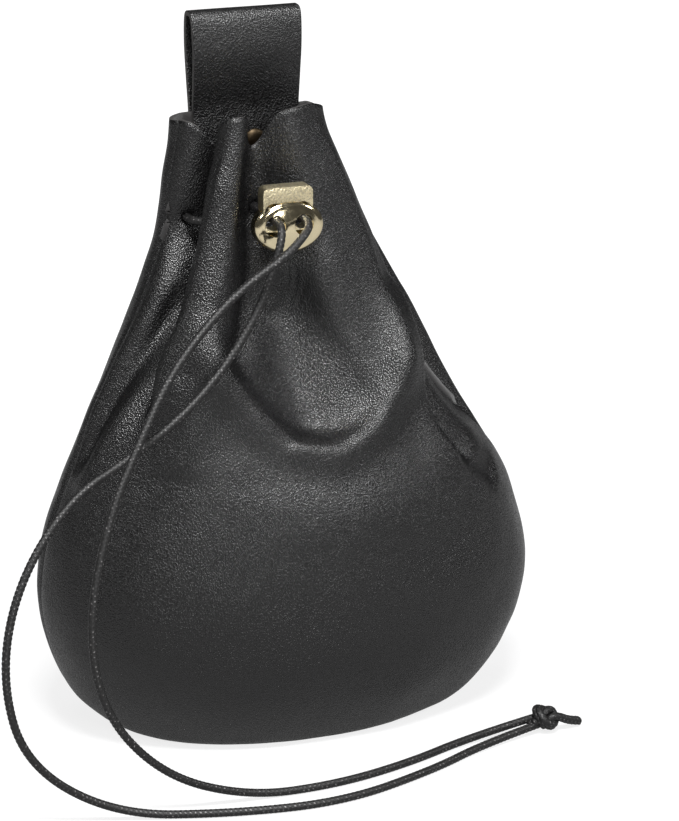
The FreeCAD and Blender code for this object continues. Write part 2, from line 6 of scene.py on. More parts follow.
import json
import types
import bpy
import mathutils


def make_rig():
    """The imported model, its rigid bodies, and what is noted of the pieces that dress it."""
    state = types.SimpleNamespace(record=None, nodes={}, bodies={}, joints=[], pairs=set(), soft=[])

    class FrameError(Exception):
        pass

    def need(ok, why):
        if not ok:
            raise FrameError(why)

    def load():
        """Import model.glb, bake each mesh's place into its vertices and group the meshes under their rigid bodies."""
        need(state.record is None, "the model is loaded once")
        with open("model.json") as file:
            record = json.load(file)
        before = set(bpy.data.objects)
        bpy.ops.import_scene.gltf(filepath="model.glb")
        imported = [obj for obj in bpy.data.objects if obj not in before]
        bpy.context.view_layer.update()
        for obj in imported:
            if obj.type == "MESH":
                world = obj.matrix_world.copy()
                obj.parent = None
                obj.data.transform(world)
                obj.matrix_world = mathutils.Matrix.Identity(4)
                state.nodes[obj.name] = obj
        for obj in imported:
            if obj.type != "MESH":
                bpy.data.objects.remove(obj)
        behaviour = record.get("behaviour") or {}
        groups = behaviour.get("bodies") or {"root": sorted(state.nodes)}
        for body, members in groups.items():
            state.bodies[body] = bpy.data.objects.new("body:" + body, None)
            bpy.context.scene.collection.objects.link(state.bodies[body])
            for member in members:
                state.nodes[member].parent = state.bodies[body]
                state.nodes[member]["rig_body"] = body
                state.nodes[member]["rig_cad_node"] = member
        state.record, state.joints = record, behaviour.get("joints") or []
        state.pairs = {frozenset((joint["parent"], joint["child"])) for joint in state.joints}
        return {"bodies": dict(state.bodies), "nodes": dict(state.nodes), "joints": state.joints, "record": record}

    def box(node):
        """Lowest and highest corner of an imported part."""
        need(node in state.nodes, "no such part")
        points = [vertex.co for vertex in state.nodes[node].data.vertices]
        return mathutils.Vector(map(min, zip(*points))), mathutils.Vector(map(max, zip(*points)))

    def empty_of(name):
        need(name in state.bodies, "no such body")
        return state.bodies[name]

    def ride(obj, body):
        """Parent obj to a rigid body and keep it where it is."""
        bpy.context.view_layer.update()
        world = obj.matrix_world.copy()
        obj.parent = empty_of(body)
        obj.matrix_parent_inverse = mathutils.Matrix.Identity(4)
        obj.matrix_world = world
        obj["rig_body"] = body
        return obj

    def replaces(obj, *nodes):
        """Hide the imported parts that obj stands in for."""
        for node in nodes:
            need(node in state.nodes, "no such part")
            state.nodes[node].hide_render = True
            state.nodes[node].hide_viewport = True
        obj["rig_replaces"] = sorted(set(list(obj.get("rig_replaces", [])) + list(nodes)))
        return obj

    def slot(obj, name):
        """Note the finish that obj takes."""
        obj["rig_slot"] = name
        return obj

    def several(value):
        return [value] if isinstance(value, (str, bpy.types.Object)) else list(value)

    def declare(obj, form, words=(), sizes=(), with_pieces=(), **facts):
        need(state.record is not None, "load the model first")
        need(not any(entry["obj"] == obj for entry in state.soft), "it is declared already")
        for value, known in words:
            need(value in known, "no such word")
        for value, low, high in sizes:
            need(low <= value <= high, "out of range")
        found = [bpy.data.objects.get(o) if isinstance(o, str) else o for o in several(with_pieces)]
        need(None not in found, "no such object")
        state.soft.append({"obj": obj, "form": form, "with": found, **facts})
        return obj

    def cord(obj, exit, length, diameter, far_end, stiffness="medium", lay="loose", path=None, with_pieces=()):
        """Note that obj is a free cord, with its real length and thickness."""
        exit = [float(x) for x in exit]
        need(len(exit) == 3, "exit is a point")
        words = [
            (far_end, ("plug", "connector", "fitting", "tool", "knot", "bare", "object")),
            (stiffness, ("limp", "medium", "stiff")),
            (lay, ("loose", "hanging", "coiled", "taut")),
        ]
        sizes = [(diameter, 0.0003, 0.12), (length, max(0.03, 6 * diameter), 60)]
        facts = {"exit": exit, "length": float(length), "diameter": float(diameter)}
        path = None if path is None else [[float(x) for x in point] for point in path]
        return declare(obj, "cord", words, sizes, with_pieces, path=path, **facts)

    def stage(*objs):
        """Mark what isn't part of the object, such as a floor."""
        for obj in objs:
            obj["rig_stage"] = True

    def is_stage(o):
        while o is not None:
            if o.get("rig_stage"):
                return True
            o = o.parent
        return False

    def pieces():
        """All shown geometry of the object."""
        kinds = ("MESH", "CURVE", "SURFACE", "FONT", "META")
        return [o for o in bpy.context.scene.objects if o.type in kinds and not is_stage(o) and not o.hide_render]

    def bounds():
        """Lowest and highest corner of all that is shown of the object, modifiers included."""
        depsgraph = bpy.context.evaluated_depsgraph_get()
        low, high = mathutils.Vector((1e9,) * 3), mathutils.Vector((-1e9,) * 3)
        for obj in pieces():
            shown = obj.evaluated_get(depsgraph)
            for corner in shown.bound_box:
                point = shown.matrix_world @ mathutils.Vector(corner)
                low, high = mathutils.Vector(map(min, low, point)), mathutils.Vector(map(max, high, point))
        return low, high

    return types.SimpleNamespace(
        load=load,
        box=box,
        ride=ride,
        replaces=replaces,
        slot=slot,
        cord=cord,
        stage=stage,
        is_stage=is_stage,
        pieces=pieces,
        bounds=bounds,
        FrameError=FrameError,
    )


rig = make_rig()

bl_info = {
    "name": "Drawstring dice bag",
    "version": (1, 0, 0),
    "blender": (4, 5, 0),
    "location": "3D View > Sidebar > Dice Bag",
    "description": "Builds a leather drawstring pouch with its belt loop, rivet, cord lock and cord",
    "category": "Object",
}

import json
import math

import bmesh
import bpy
import numpy as np
from bpy.props import FloatProperty, FloatVectorProperty, IntProperty, PointerProperty
from bpy.types import Operator, Panel, PropertyGroup
from mathutils import Matrix, Vector, noise

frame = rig.load()
CAD_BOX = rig.bounds()
MM = 0.001

# ---- the pouch's fold lines, in millimetres ------------
# Each row walks round the leather at one height through the same nineteen fold lines: front valley
# 0-2, right flap 3-4, right valley 5, side ridge 6-7, back corner 8, flat back 9-10, left back 11-12,
# left ridge 13, left valley 14-15, main pleat 16-18.
FOLDS = {
    190.0: [(-10, -4), (-5, -6), (1, -8), (7.5, -5), (12, 0.5), (8.5, 5), (14, 10), (15.5, 14), (14, 18),
            (7, 18.6), (-19, 18.6), (-25.5, 16.6), (-29, 11), (-30, 4), (-24.5, -2.5), (-18.5, -2.5),
            (-21, -9.5), (-16.5, -14), (-12.5, -9)],
    182.0: [(-10, -4.5), (-5, -6.5), (1, -9), (8, -6), (12.5, 0), (9, 5), (14.5, 10), (16, 14), (14.5, 18),
            (7, 18.6), (-19, 18.6), (-25.5, 16.6), (-29.5, 11), (-30.5, 4), (-25, -2.5), (-18.5, -2.5),
            (-21.5, -9.5), (-17, -14.5), (-13.2, -9.5)],
    166.0: [(-10, -6), (-4, -8), (3.5, -11), (12.5, -8), (18, 0), (12.5, 5), (19, 10.5), (19.5, 14.5),
            (15.5, 18.2), (7, 18.7), (-19, 18.7), (-26.5, 16.5), (-31.5, 11), (-33, 4), (-27.5, -1.5),
            (-19, -2), (-25.5, -10.5), (-19.5, -16.8), (-15.8, -11.4)],
    150.0: [(-9, -9), (-1, -10), (7.5, -12.8), (17, -10), (24.5, -2), (17.5, 4), (26.5, 10), (25, 15.5),
            (18, 20), (7, 20.2), (-18, 20.2), (-27, 17), (-33.5, 12), (-35, 4), (-28.5, 0), (-19.5, -2.5),
            (-29, -11.5), (-22.5, -19), (-16.5, -14)],
    132.0: [(-9, -13), (1, -13), (10, -15.5), (21, -14), (32, -4), (27, 4), (36.5, 10), (33, 18), (22, 26),
            (7, 26.5), (-15, 26.5), (-28, 22), (-38, 15), (-41, 5), (-36.5, -4), (-28, -6),
            (-35, -14), (-28.5, -22.5), (-19.5, -18.8)],
    115.0: [(-10, -19.5), (1, -18.5), (12, -18.5), (26, -19), (39, -8), (37, 3), (46, 9), (41, 20), (29, 30),
            (8, 33), (-15, 33), (-32, 27), (-44, 18), (-48.5, 5), (-45, -6), (-37.5, -12),
            (-42, -18), (-33.5, -25), (-22, -23.5)],
    95.0: [(-10, -29), (1, -27.5), (14, -27), (30, -24), (46, -13), (50, 2), (56, 8), (50, 20), (36, 31),
           (10, 38.5), (-14, 38.5), (-36, 32), (-51, 19), (-58, 5), (-55.5, -8), (-50, -15),
           (-45, -22), (-36, -27.5), (-24, -30)],
}
# Below the folds the leather is a plain rounded belly: height, half width, half depth, centre x, y.
BELLY = [
    (75.0, 67.0, 40.5, 0.5, 2.2),
    (58.0, 73.0, 42.5, 1.0, 2.0),
    (42.0, 75.7, 43.0, 1.6, 1.5),
    (25.0, 72.0, 41.5, 1.5, 1.0),
    (11.0, 64.0, 36.5, 1.0, 0.5),
    (3.0, 55.0, 31.0, 1.0, 0.0),
    (0.0, 48.5, 27.0, 1.0, 0.0),
]
# The mouth's height at each fold line.
RIM = [174.5, 182.0, 185.4, 185.6, 182.6, 181.0, 180.6, 180.4, 180.6, 180.2, 180.2, 180.4, 181.0, 181.6,
       180.4, 174.0, 182.0, 185.4, 182.5]
LINES = len(RIM)
SEAM_Y = 3.0
# Half width and half depth that turn the lowest folded row into angles round the belly.
TURN_WIDE, TURN_DEEP = 55.0, 36.0
SPACING_POWER = 0.6
TABLE_SIZE = 800


class Leather:
    """The outside of the pouch as a smooth surface: fold line number round it, height up it."""

    def __init__(self):
        angles = [math.atan2(x / TURN_WIDE, -(y - SEAM_Y) / TURN_DEEP) for x, y in FOLDS[95.0]]
        rows = [(z, [(cx + a * math.sin(t), cy - b * math.cos(t)) for t in angles])
                for z, a, b, cx, cy in BELLY]
        rows = sorted(rows + list(FOLDS.items()))
        self.heights = np.array([z for z, _ in rows])
        self.points = np.array([points for _, points in rows], float)
        self.gaps = np.mean([np.linalg.norm(np.roll(p, -1, 0) - p, axis=1) ** SPACING_POWER
                             for p in self.points], 0)
        self.bends = np.array([self.solve(p) for p in self.points])
        self.rim_bends = self.solve(np.array(RIM)[:, None])
        rings = self.rings(np.arange(0, LINES, 0.1))
        steps = [np.mean(np.linalg.norm(b - a, axis=1)) for a, b in zip(rings, rings[1:])]
        self.along = np.concatenate([[0.0], np.cumsum(steps)])
        self.table_s = np.linspace(0, self.along[-1], TABLE_SIZE)
        self.table_z = self.at(np.zeros(TABLE_SIZE), self.table_s)[:, 2]

    def solve(self, p):
        """Second derivatives of the closed cubic through the points of one row."""
        n = len(p)
        h = self.gaps
        a = np.zeros((n, n))
        b = np.zeros(p.shape)
        for i in range(n):
            j = (i + 1) % n
            a[i, i - 1] += h[i - 1]
            a[i, i] += 2 * (h[i - 1] + h[i])
            a[i, j] += h[i]
            b[i] = 6 * ((p[j] - p[i]) / h[i] - (p[i] - p[i - 1]) / h[i - 1])
        return np.linalg.solve(a, b)

    def blend(self, p, m, u):
        """A closed cubic at fold line numbers u."""
        i = np.floor(u).astype(int) % LINES
        j = (i + 1) % LINES
        b = (u - np.floor(u))[:, None]
        a = 1 - b
        h = self.gaps[i][:, None]
        return a * p[i] + b * p[j] + ((a ** 3 - a) * m[i] + (b ** 3 - b) * m[j]) * h * h / 6

    def rings(self, u):
        """Every row at u, as x, y, z."""
        return [np.column_stack([self.blend(p, m, u), np.full(len(u), z)])
                for p, m, z in zip(self.points, self.bends, self.heights)]

    def at(self, u, s):
        """Points at fold line number u and arc length s above the bottom ring."""
        rings = np.array(self.rings(u))
        steps = np.diff(self.along)
        slopes = np.diff(rings, axis=0) / steps[:, None, None]
        middle = (slopes[:-1] * steps[1:, None, None] + slopes[1:] * steps[:-1, None, None])
        middle /= (steps[1:] + steps[:-1])[:, None, None]
        tangents = np.concatenate([slopes[:1], middle, slopes[-1:]])
        i = np.clip(np.searchsorted(self.along, s, side="right") - 1, 0, len(steps) - 1)
        h = steps[i][:, None]
        x = ((s - self.along[i]) / steps[i])[:, None]
        k = np.arange(len(u))
        return ((2 * x ** 3 - 3 * x ** 2 + 1) * rings[i, k] + (x ** 3 - 2 * x ** 2 + x) * h * tangents[i, k]
                + (3 * x ** 2 - 2 * x ** 3) * rings[i + 1, k] + (x ** 3 - x ** 2) * h * tangents[i + 1, k])

    def normal(self, u, s):
        """Outward normals at fold line number u and arc length s."""
        top = self.along[-1]
        across = self.at((u + 0.02) % LINES, s) - self.at((u - 0.02) % LINES, s)
        up = self.at(u, np.minimum(s + 0.3, top)) - self.at(u, np.maximum(s - 0.3, 0.0))
        out = np.cross(across, up)
        return out / np.linalg.norm(out, axis=1)[:, None]

    def length_at(self, z):
        """Arc length where the surface reaches height z."""
        return np.interp(z, self.table_z, self.table_s)

    def rim(self, u):
        """Height of the mouth's edge at fold line number u."""
        return self.blend(np.array(RIM)[:, None], self.rim_bends, u)[:, 0]

    def seam(self, near, s):
        """Fold line number, close to near, where the surface crosses the seam plane at each s."""
        lo = np.full(len(s), near - 1.0)
        hi = np.full(len(s), near + 1.0)
        side = np.sign(self.at(hi, s)[:, 1] - SEAM_Y)
        for _ in range(30):
            mid = (lo + hi) / 2
            past = np.sign(self.at(mid, s)[:, 1] - SEAM_Y) == side
            hi = np.where(past, mid, hi)
            lo = np.where(past, lo, mid)
        return (lo + hi) / 2


LEATHER = Leather()

# ---- the cord's route, in millimetres ------------
LEFT_X, RIGHT_X, CORD_Z, FRONT_Y = -9.4, -1.0, 156.95, -23.8
NECK_RUN = [
    (LEFT_X, FRONT_Y, CORD_Z), (LEFT_X, -4.5, CORD_Z), (-10.8, -0.8, 155.5), (-14.8, -2.3, 155.0),
    (-19.0, -10.0, 154.3), (-28.6, -5.0, 154.0), (-27.6, 7.5, 153.7), (-13.0, 23.0, 153.5),
    (4.0, 23.0, 153.5), (10.5, 15.8, 153.6), (18.5, 14.0, 153.8), (25.2, 5.2, 154.0),
    (15.0, -3.8, 154.4), (4.5, -1.8, 155.2), (RIGHT_X, -5.0, CORD_Z), (RIGHT_X, FRONT_Y, CORD_Z),
]
LEFT_TAIL = [
    (LEFT_X, FRONT_Y, CORD_Z), (LEFT_X, -27.6, CORD_Z), (-10.2, -30.8, 154.2), (-12.8, -32.0, 146.6),
    (-18.0, -33.2, 134.4), (-28.5, -36.0, 120.5), (-42.5, -41.0, 109.0),
    (-60.5, -46.0, 99.4), (-79.0, -51.0, 92.0), (-96.0, -56.5, 71.0),
    (-102.5, -61.0, 46.0), (-97.0, -64.0, 20.5), (-71.0, -62.5, 1.3), (-40.0, -72.5, 1.3),
    (-8.0, -75.5, 1.3), (24.0, -63.0, 1.3), (44.0, -51.0, 1.3), (64.5, -45.6, 2.9),
]
RIGHT_TAIL = [
    (RIGHT_X, FRONT_Y, CORD_Z), (RIGHT_X, -28.0, CORD_Z), (-3.5, -32.2, 155.2), (-11.0, -36.2, 150.2),
    (-20.5, -38.2, 145.6), (-32.0, -40.2, 137.8), (-47.5, -45.5, 123.5), (-59.0, -51.5, 106.0),
    (-69.5, -57.0, 88.0), (-78.0, -62.5, 60.0), (-75.5, -66.5, 34.0), (-58.0, -66.0, 12.5),
    (-32.0, -63.0, 1.3), (-7.0, -63.5, 1.3), (18.0, -56.5, 1.3), (43.0, -44.5, 1.3), (64.5, -42.4, 3.8),
]


# ---- sizes and colours ------------
def colour_property(name, text, default):
    """A colour the add-on's panel shows."""
    return FloatVectorProperty(name=name, description=text, default=default, size=3, min=0, max=1,
                               subtype="COLOR")


def length_property(name, text, default, low, high):
    """A length the add-on's panel shows, in metres."""
    return FloatProperty(name=name, description=text, default=default, min=low, max=high, unit="LENGTH")


class LeatherLook(PropertyGroup):
    colour: colour_property("Leather", "Colour of the leather's face", (0.0035, 0.0033, 0.0035))
    lining: colour_property("Lining", "Colour of the lining side", (0.016, 0.015, 0.015))
    edge: colour_property("Cut edge", "Colour of the cut edges", (0.045, 0.043, 0.042))
    grain: length_property("Grain", "Width of one pebble of the grain", 0.00052, 0.0002, 0.004)
    relief: length_property("Relief", "Height of the grain", 0.00011, 0.0, 0.001)
    wall: length_property("Thickness", "Thickness of the pouch leather", 0.0012, 0.0005, 0.003)


class CordLook(PropertyGroup):
    diameter: length_property("Diameter", "Diameter of the cord", 0.0023, 0.001, 0.005)
    strands: IntProperty(name="Strands", description="Strands that run each way in the braid",
                         default=2, min=2, max=8)
    pitch: length_property("Pitch", "Length of one full turn of a strand", 0.0056, 0.003, 0.03)
    colour: colour_property("Cord", "Colour of the waxed thread", (0.0050, 0.0048, 0.0048))


class MetalLook(PropertyGroup):
    gold: colour_property("Gold", "Colour of the cord lock's plating", (0.98, 0.84, 0.56))
    brass: colour_property("Rivet", "Colour of the rivet", (0.055, 0.040, 0.024))
    rounding: length_property("Rounding", "Rounding of the lock's rims", 0.0024, 0.0003, 0.004)
    hole: length_property("Cord hole", "Diameter of the lock's two holes", 0.006, 0.003, 0.008)


# ---- node helpers ------------
def material(name):
    """A new material with its node tree, its shader and its object coordinates."""
    mat = bpy.data.materials.new(name)
    mat.use_nodes = True
    net = mat.node_tree
    net.nodes.clear()
    out = net.nodes.new("ShaderNodeOutputMaterial")
    shader = net.nodes.new("ShaderNodeBsdfPrincipled")
    net.links.new(shader.outputs["BSDF"], out.inputs["Surface"])
    return mat, net, shader, net.nodes.new("ShaderNodeTexCoord").outputs["Object"]


def preset(node, **inputs):
    """Sets a node's inputs; an underscore stands for a space in an input's name."""
    for name, value in inputs.items():
        node.inputs[name.replace("_", " ")].default_value = value


def noise_node(net, coords, scale, detail=3.0, rough=0.55):
    """Noise on object coordinates, scale in cells per metre."""
    tex = net.nodes.new("ShaderNodeTexNoise")
    preset(tex, Scale=scale, Detail=detail, Roughness=rough)
    net.links.new(coords, tex.inputs["Vector"])
    return tex.outputs["Fac"]


def spread(net, value, low, high, out_low, out_high):
    """Maps low..high of a value to out_low..out_high."""
    node = net.nodes.new("ShaderNodeMapRange")
    preset(node, From_Min=low, From_Max=high, To_Min=out_low, To_Max=out_high)
    net.links.new(value, node.inputs["Value"])
    return node.outputs["Result"]


def maths(net, operation, a, b):
    """One arithmetic node; a and b are sockets or numbers."""
    node = net.nodes.new("ShaderNodeMath")
    node.operation = operation
    for slot, value in zip(node.inputs, (a, b)):
        if isinstance(value, (int, float)):
            slot.default_value = value
        else:
            net.links.new(value, slot)
    return node.outputs["Value"]


def two_colours(net, shader, factor, a, b):
    """Gives the shader a blend of two colours."""
    node = net.nodes.new("ShaderNodeMix")
    node.data_type = "RGBA"
    net.links.new(factor, node.inputs["Factor"])
    preset(node, A=(*a, 1), B=(*b, 1))
    net.links.new(node.outputs["Result"], shader.inputs["Base Color"])


def bump(net, height, distance, strength, shader):
    """A bump on the shader."""
    node = net.nodes.new("ShaderNodeBump")
    preset(node, Strength=strength, Distance=distance)
    net.links.new(height, node.inputs["Height"])
    net.links.new(node.outputs["Normal"], shader.inputs["Normal"])


def tint(colour, factor):
    """A colour made lighter or darker."""
    return tuple(min(1.0, c * factor) for c in colour)


# ---- finishes ------------
def leather_finish(name, look, gloss=1.0):
    """Black pebbled leather: rounded pebbles with creases between, broad shine variation; its colour is painted shade
    in the creases and painted light on the pebble tops.
    """
    mat, net, shader, where = material(name)
    cells = net.nodes.new("ShaderNodeTexVoronoi")
    cells.feature = "F1"
    preset(cells, Scale=1.0 / look.grain, Randomness=0.85)
    net.links.new(where, cells.inputs["Vector"])
    round_off = maths(net, "MULTIPLY", cells.outputs["Distance"], cells.outputs["Distance"])
    dome = spread(net, round_off, 0.0, 0.5, 1.0, 0.0)
    pores = noise_node(net, where, 1.1 / look.grain, 0.0)
    height = maths(net, "ADD", dome, maths(net, "MULTIPLY", pores, 0.5))
    bump(net, height, look.relief, 1.0, shader)
    # painted shade and painted light: the colour follows the pebble height, darker in the creases between the pebbles
    # and lighter on their tops
    two_colours(net, shader, dome, tint(look.colour, 0.5), tint(look.colour, 1.3))
    patch = noise_node(net, where, 22.0, 3.0)
    rough = maths(net, "ADD", spread(net, patch, 0.3, 0.7, 0.20, 0.24),
                  spread(net, dome, 0.0, 0.6, 0.25, 0.0))
    net.links.new(maths(net, "MULTIPLY", rough, gloss), shader.inputs["Roughness"])
    preset(shader, Specular_IOR_Level=0.7)
    return mat


def fibre_finish(name, noise_look, dark, light, relief, strength, roughness):
    """Matt fibres, dark to light. noise_look is cells per metre, detail and roughness of the noise."""
    mat, net, shader, where = material(name)
    fibre = noise_node(net, where, *noise_look)
    two_colours(net, shader, fibre, dark, light)
    bump(net, fibre, relief, strength, shader)
    preset(shader, Roughness=roughness)
    return mat, shader


def lining_finish(look):
    """Matt, slightly fibrous lining side."""
    mat, shader = fibre_finish("lining", (2600.0, 4.0, 0.7), tint(look.lining, 0.6), tint(look.lining, 1.5),
                               0.0002, 0.7, 0.85)
    preset(shader, Sheen_Weight=0.15)
    return mat


def edge_finish(look):
    """Cut edge: paler fibres."""
    return fibre_finish("cut_edge", (1900.0, 3.0, 0.6), tint(look.edge, 0.6), tint(look.edge, 1.5),
                        0.00015, 0.5, 0.55)[0]


def thread_finish():
    """Black twisted polyester thread."""
    return fibre_finish("seam_thread", (4200.0, 3.0, 0.7), (0.008, 0.008, 0.008), (0.03, 0.03, 0.03),
                        0.0001, 0.8, 0.6)[0]


def cord_finish(look):
    """Waxed braid: dark thread, with painted highlights on the crowns of the strands: pale spots that stand in for the
    lamps' glints.
    """
    mat, net, shader, where = material("waxed_cord")
    crown = net.nodes.new("ShaderNodeAttribute")
    crown.attribute_name = "crown"
    fibre = noise_node(net, where, 5200.0, 3.0, 0.65)
    glint_noise = noise_node(net, where, 1100.0, 2.0, 0.6)
    # painted highlights: pale spots where the noise meets the strands' crowns stand in for glints of the lamps
    painted_glints = maths(net, "MULTIPLY", spread(net, glint_noise, 0.50, 0.62, 0.0, 1.0),
                spread(net, crown.outputs["Fac"], 0.78, 0.98, 0.0, 1.0))
    two_colours(net, shader, painted_glints, look.colour, tint(look.colour, 45.0))
    bump(net, fibre, 0.00008, 0.7, shader)
    net.links.new(spread(net, crown.outputs["Fac"], 0.3, 1.0, 0.75, 0.32), shader.inputs["Roughness"])
    preset(shader, Specular_IOR_Level=0.55)
    return mat


def polished_finish(look):
    """Polished gold plate with the faintest ripple and smears."""
    mat, net, shader, where = material("polished_gold")
    ripple = noise_node(net, where, 420.0, 2.0)
    smear = noise_node(net, where, 900.0, 4.0, 0.7)
    two_colours(net, shader, smear, tint(look.gold, 0.9), tint(look.gold, 1.05))
    net.links.new(spread(net, smear, 0.35, 0.75, 0.10, 0.2), shader.inputs["Roughness"])
    bump(net, ripple, 0.00006, 0.5, shader)
    preset(shader, Metallic=1.0)
    return mat


def cast_finish(look):
    """Sand-cast gold: fine pits and grains, with painted shade that darkens the pits."""
    mat, net, shader, where = material("cast_gold")
    grain = noise_node(net, where, 1700.0, 3.0, 0.7)
    pits = net.nodes.new("ShaderNodeTexVoronoi")
    preset(pits, Scale=1500.0)
    net.links.new(where, pits.inputs["Vector"])
    height = maths(net, "ADD", grain, maths(net, "MULTIPLY", pits.outputs["Distance"], 0.7))
    # painted shade: the colour follows the bump height, darker in the pits and paler on the grains
    two_colours(net, shader, spread(net, height, 0.5, 1.0, 0.0, 1.0), tint(look.gold, 0.62),
                tint(look.gold, 1.05))
    bump(net, height, 0.0002, 0.9, shader)
    preset(shader, Metallic=1.0, Roughness=0.33)
    return mat


def plain_metal(name, colour, roughness, scale):
    """Drawn or stamped metal with fine wear."""
    mat, net, shader, where = material(name)
    wear = noise_node(net, where, scale, 4.0, 0.65)
    two_colours(net, shader, wear, tint(colour, 0.7), tint(colour, 1.25))
    net.links.new(spread(net, wear, 0.3, 0.7, roughness * 0.8, roughness * 1.3), shader.inputs["Roughness"])
    bump(net, wear, 0.00005, 0.4, shader)
    preset(shader, Metallic=1.0)
    return mat


# ---- mesh helpers ------------
def finish_mesh(name, bm, materials, sharp=None):
    """A new object at the origin from a bmesh."""
    mesh = bpy.data.meshes.new(name)
    bm.to_mesh(mesh)
    bm.free()
    for mat in materials:
        mesh.materials.append(mat)
    mesh.shade_smooth()
    if sharp is not None:
        mesh.set_sharp_from_angle(angle=math.radians(sharp))
    obj = bpy.data.objects.new(name, mesh)
    bpy.context.scene.collection.objects.link(obj)
    return obj


def evaluated_mesh(obj):
    """A new mesh of an object as its modifiers or curve settings shape it."""
    graph = bpy.context.evaluated_depsgraph_get()
    return bpy.data.meshes.new_from_object(obj.evaluated_get(graph), depsgraph=graph)


def drop(obj, store):
    """Removes an object and its data, which is in store."""
    data = obj.data
    bpy.data.objects.remove(obj)
    store.remove(data)


def baked(obj):
    """Applies the modifiers an object has so far."""
    mesh = evaluated_mesh(obj)
    old = obj.data
    obj.modifiers.clear()
    obj.data = mesh
    mesh.name = obj.name
    bpy.data.meshes.remove(old)
    return obj


def grid_mesh(points, crown=None):
    """A bmesh grid moved to points, rows by columns by 3. crown is a value to store at each vertex."""
    rows, cols = points.shape[:2]
    bm = bmesh.new()
    bmesh.ops.create_grid(bm, x_segments=cols - 1, y_segments=rows - 1, size=1.0)
    if crown is not None:
        store = bm.verts.layers.float.new("crown")
    bm.verts.ensure_lookup_table()
    for v in bm.verts:
        j = round((v.co.x + 1) / 2 * (cols - 1))
        i = round((v.co.y + 1) / 2 * (rows - 1))
        v.co = points[i, j]
        if crown is not None:
            v[store] = float(crown[i, j])
    return bm


def smooth_line(spots, per):
    """A smooth line through the spots, with per steps from each to the next."""
    spots = np.array(spots, float)
    last = len(spots) - 1
    steps = np.linspace(0, last, per * last + 1)
    i = np.clip(steps.astype(int), 0, last - 1)
    t = (steps - i)[:, None]
    a, b, c, d = (spots[np.clip(i + k, 0, last)] for k in (-1, 0, 1, 2))
    return 0.5 * (2 * b + (c - a) * t + (2 * a - 5 * b + 4 * c - d) * t ** 2
                  + (3 * b - a - 3 * c + d) * t ** 3)


def turned(profile, cx, cz, steps):
    """A bmesh turned from a profile of radius and y about the Y line through cx, cz."""
    bm = bmesh.new()
    verts = [bm.verts.new((cx + r, y, cz)) for r, y in profile]
    edges = [bm.edges.new(pair) for pair in zip(verts, verts[1:])]
    bmesh.ops.spin(bm, geom=verts + edges, cent=(cx, 0, cz), axis=(0, 1, 0), angle=2 * math.pi,
                   steps=steps, use_merge=True)
    bmesh.ops.remove_doubles(bm, verts=bm.verts, dist=1e-6)
    return bm


def box_mesh(low, high):
    """A bmesh box between two corners."""
    bm = bmesh.new()
    bmesh.ops.create_cube(bm, size=1.0)
    for v in bm.verts:
        v.co = [(a + b) / 2 + c * (b - a) for a, b, c in zip(low, high, v.co)]
    return bm


def round_edges(obj, width, angle):
    """A bevel of three segments on every edge sharper than angle, in degrees."""
    edge = obj.modifiers.new("edge", "BEVEL")
    edge.width = width
    edge.segments = 3
    edge.limit_method = "ANGLE"
    edge.angle_limit = math.radians(angle)
    return edge


def crisp_edges(obj, width):
    """Rounds a cut object's edges and keeps its faces apart in the shading."""
    round_edges(obj, width, 40)
    baked(obj)
    obj.data.shade_smooth()
    obj.data.set_sharp_from_angle(angle=math.radians(50))


def cut_away(obj, cutters):
    """Cuts the cutter meshes out of an object and removes them."""
    for cutter in cutters:
        mod = obj.modifiers.new("cut", "BOOLEAN")
        mod.operation = "DIFFERENCE"
        mod.solver = "EXACT"
        mod.object = cutter
    baked(obj)
    for cutter in cutters:
        drop(cutter, bpy.data.meshes)


# ---- cords ------------
BRAID_STEP = 0.00030
BRAID_SIDES = 20
# Radius in the braid's valleys and how much its crowns add, as shares of the cord's radius.
BRAID_VALLEY, BRAID_RISE = 0.87, 0.19


def spline_object(name, points):
    """A curve of one open smooth spline with the route's points as its control points."""
    curve = bpy.data.curves.new(name, "CURVE")
    curve.dimensions = "3D"
    spline = curve.splines.new("NURBS")
    spline.points.add(len(points) - 1)
    for target, (x, y, z) in zip(spline.points, points):
        target.co = (x * MM, y * MM, z * MM, 1.0)
    spline.order_u = 3
    spline.use_endpoint_u = True
    spline.resolution_u = 40
    obj = bpy.data.objects.new(name, curve)
    bpy.context.scene.collection.objects.link(obj)
    return obj


def spline_points(points):
    """Points read along the smooth spline."""
    obj = spline_object("route", points)
    mesh = evaluated_mesh(obj)
    found = np.array([v.co[:] for v in mesh.vertices])
    bpy.data.meshes.remove(mesh)
    drop(obj, bpy.data.curves)
    return found


def even_points(line, step):
    """The line's points at an even step."""
    length = np.concatenate([[0], np.cumsum(np.linalg.norm(np.diff(line, axis=0), axis=1))])
    count = max(2, int(round(length[-1] / step)) + 1)
    at = np.linspace(0, length[-1], count)
    return np.column_stack([np.interp(at, length, line[:, k]) for k in range(3)]), length[-1]


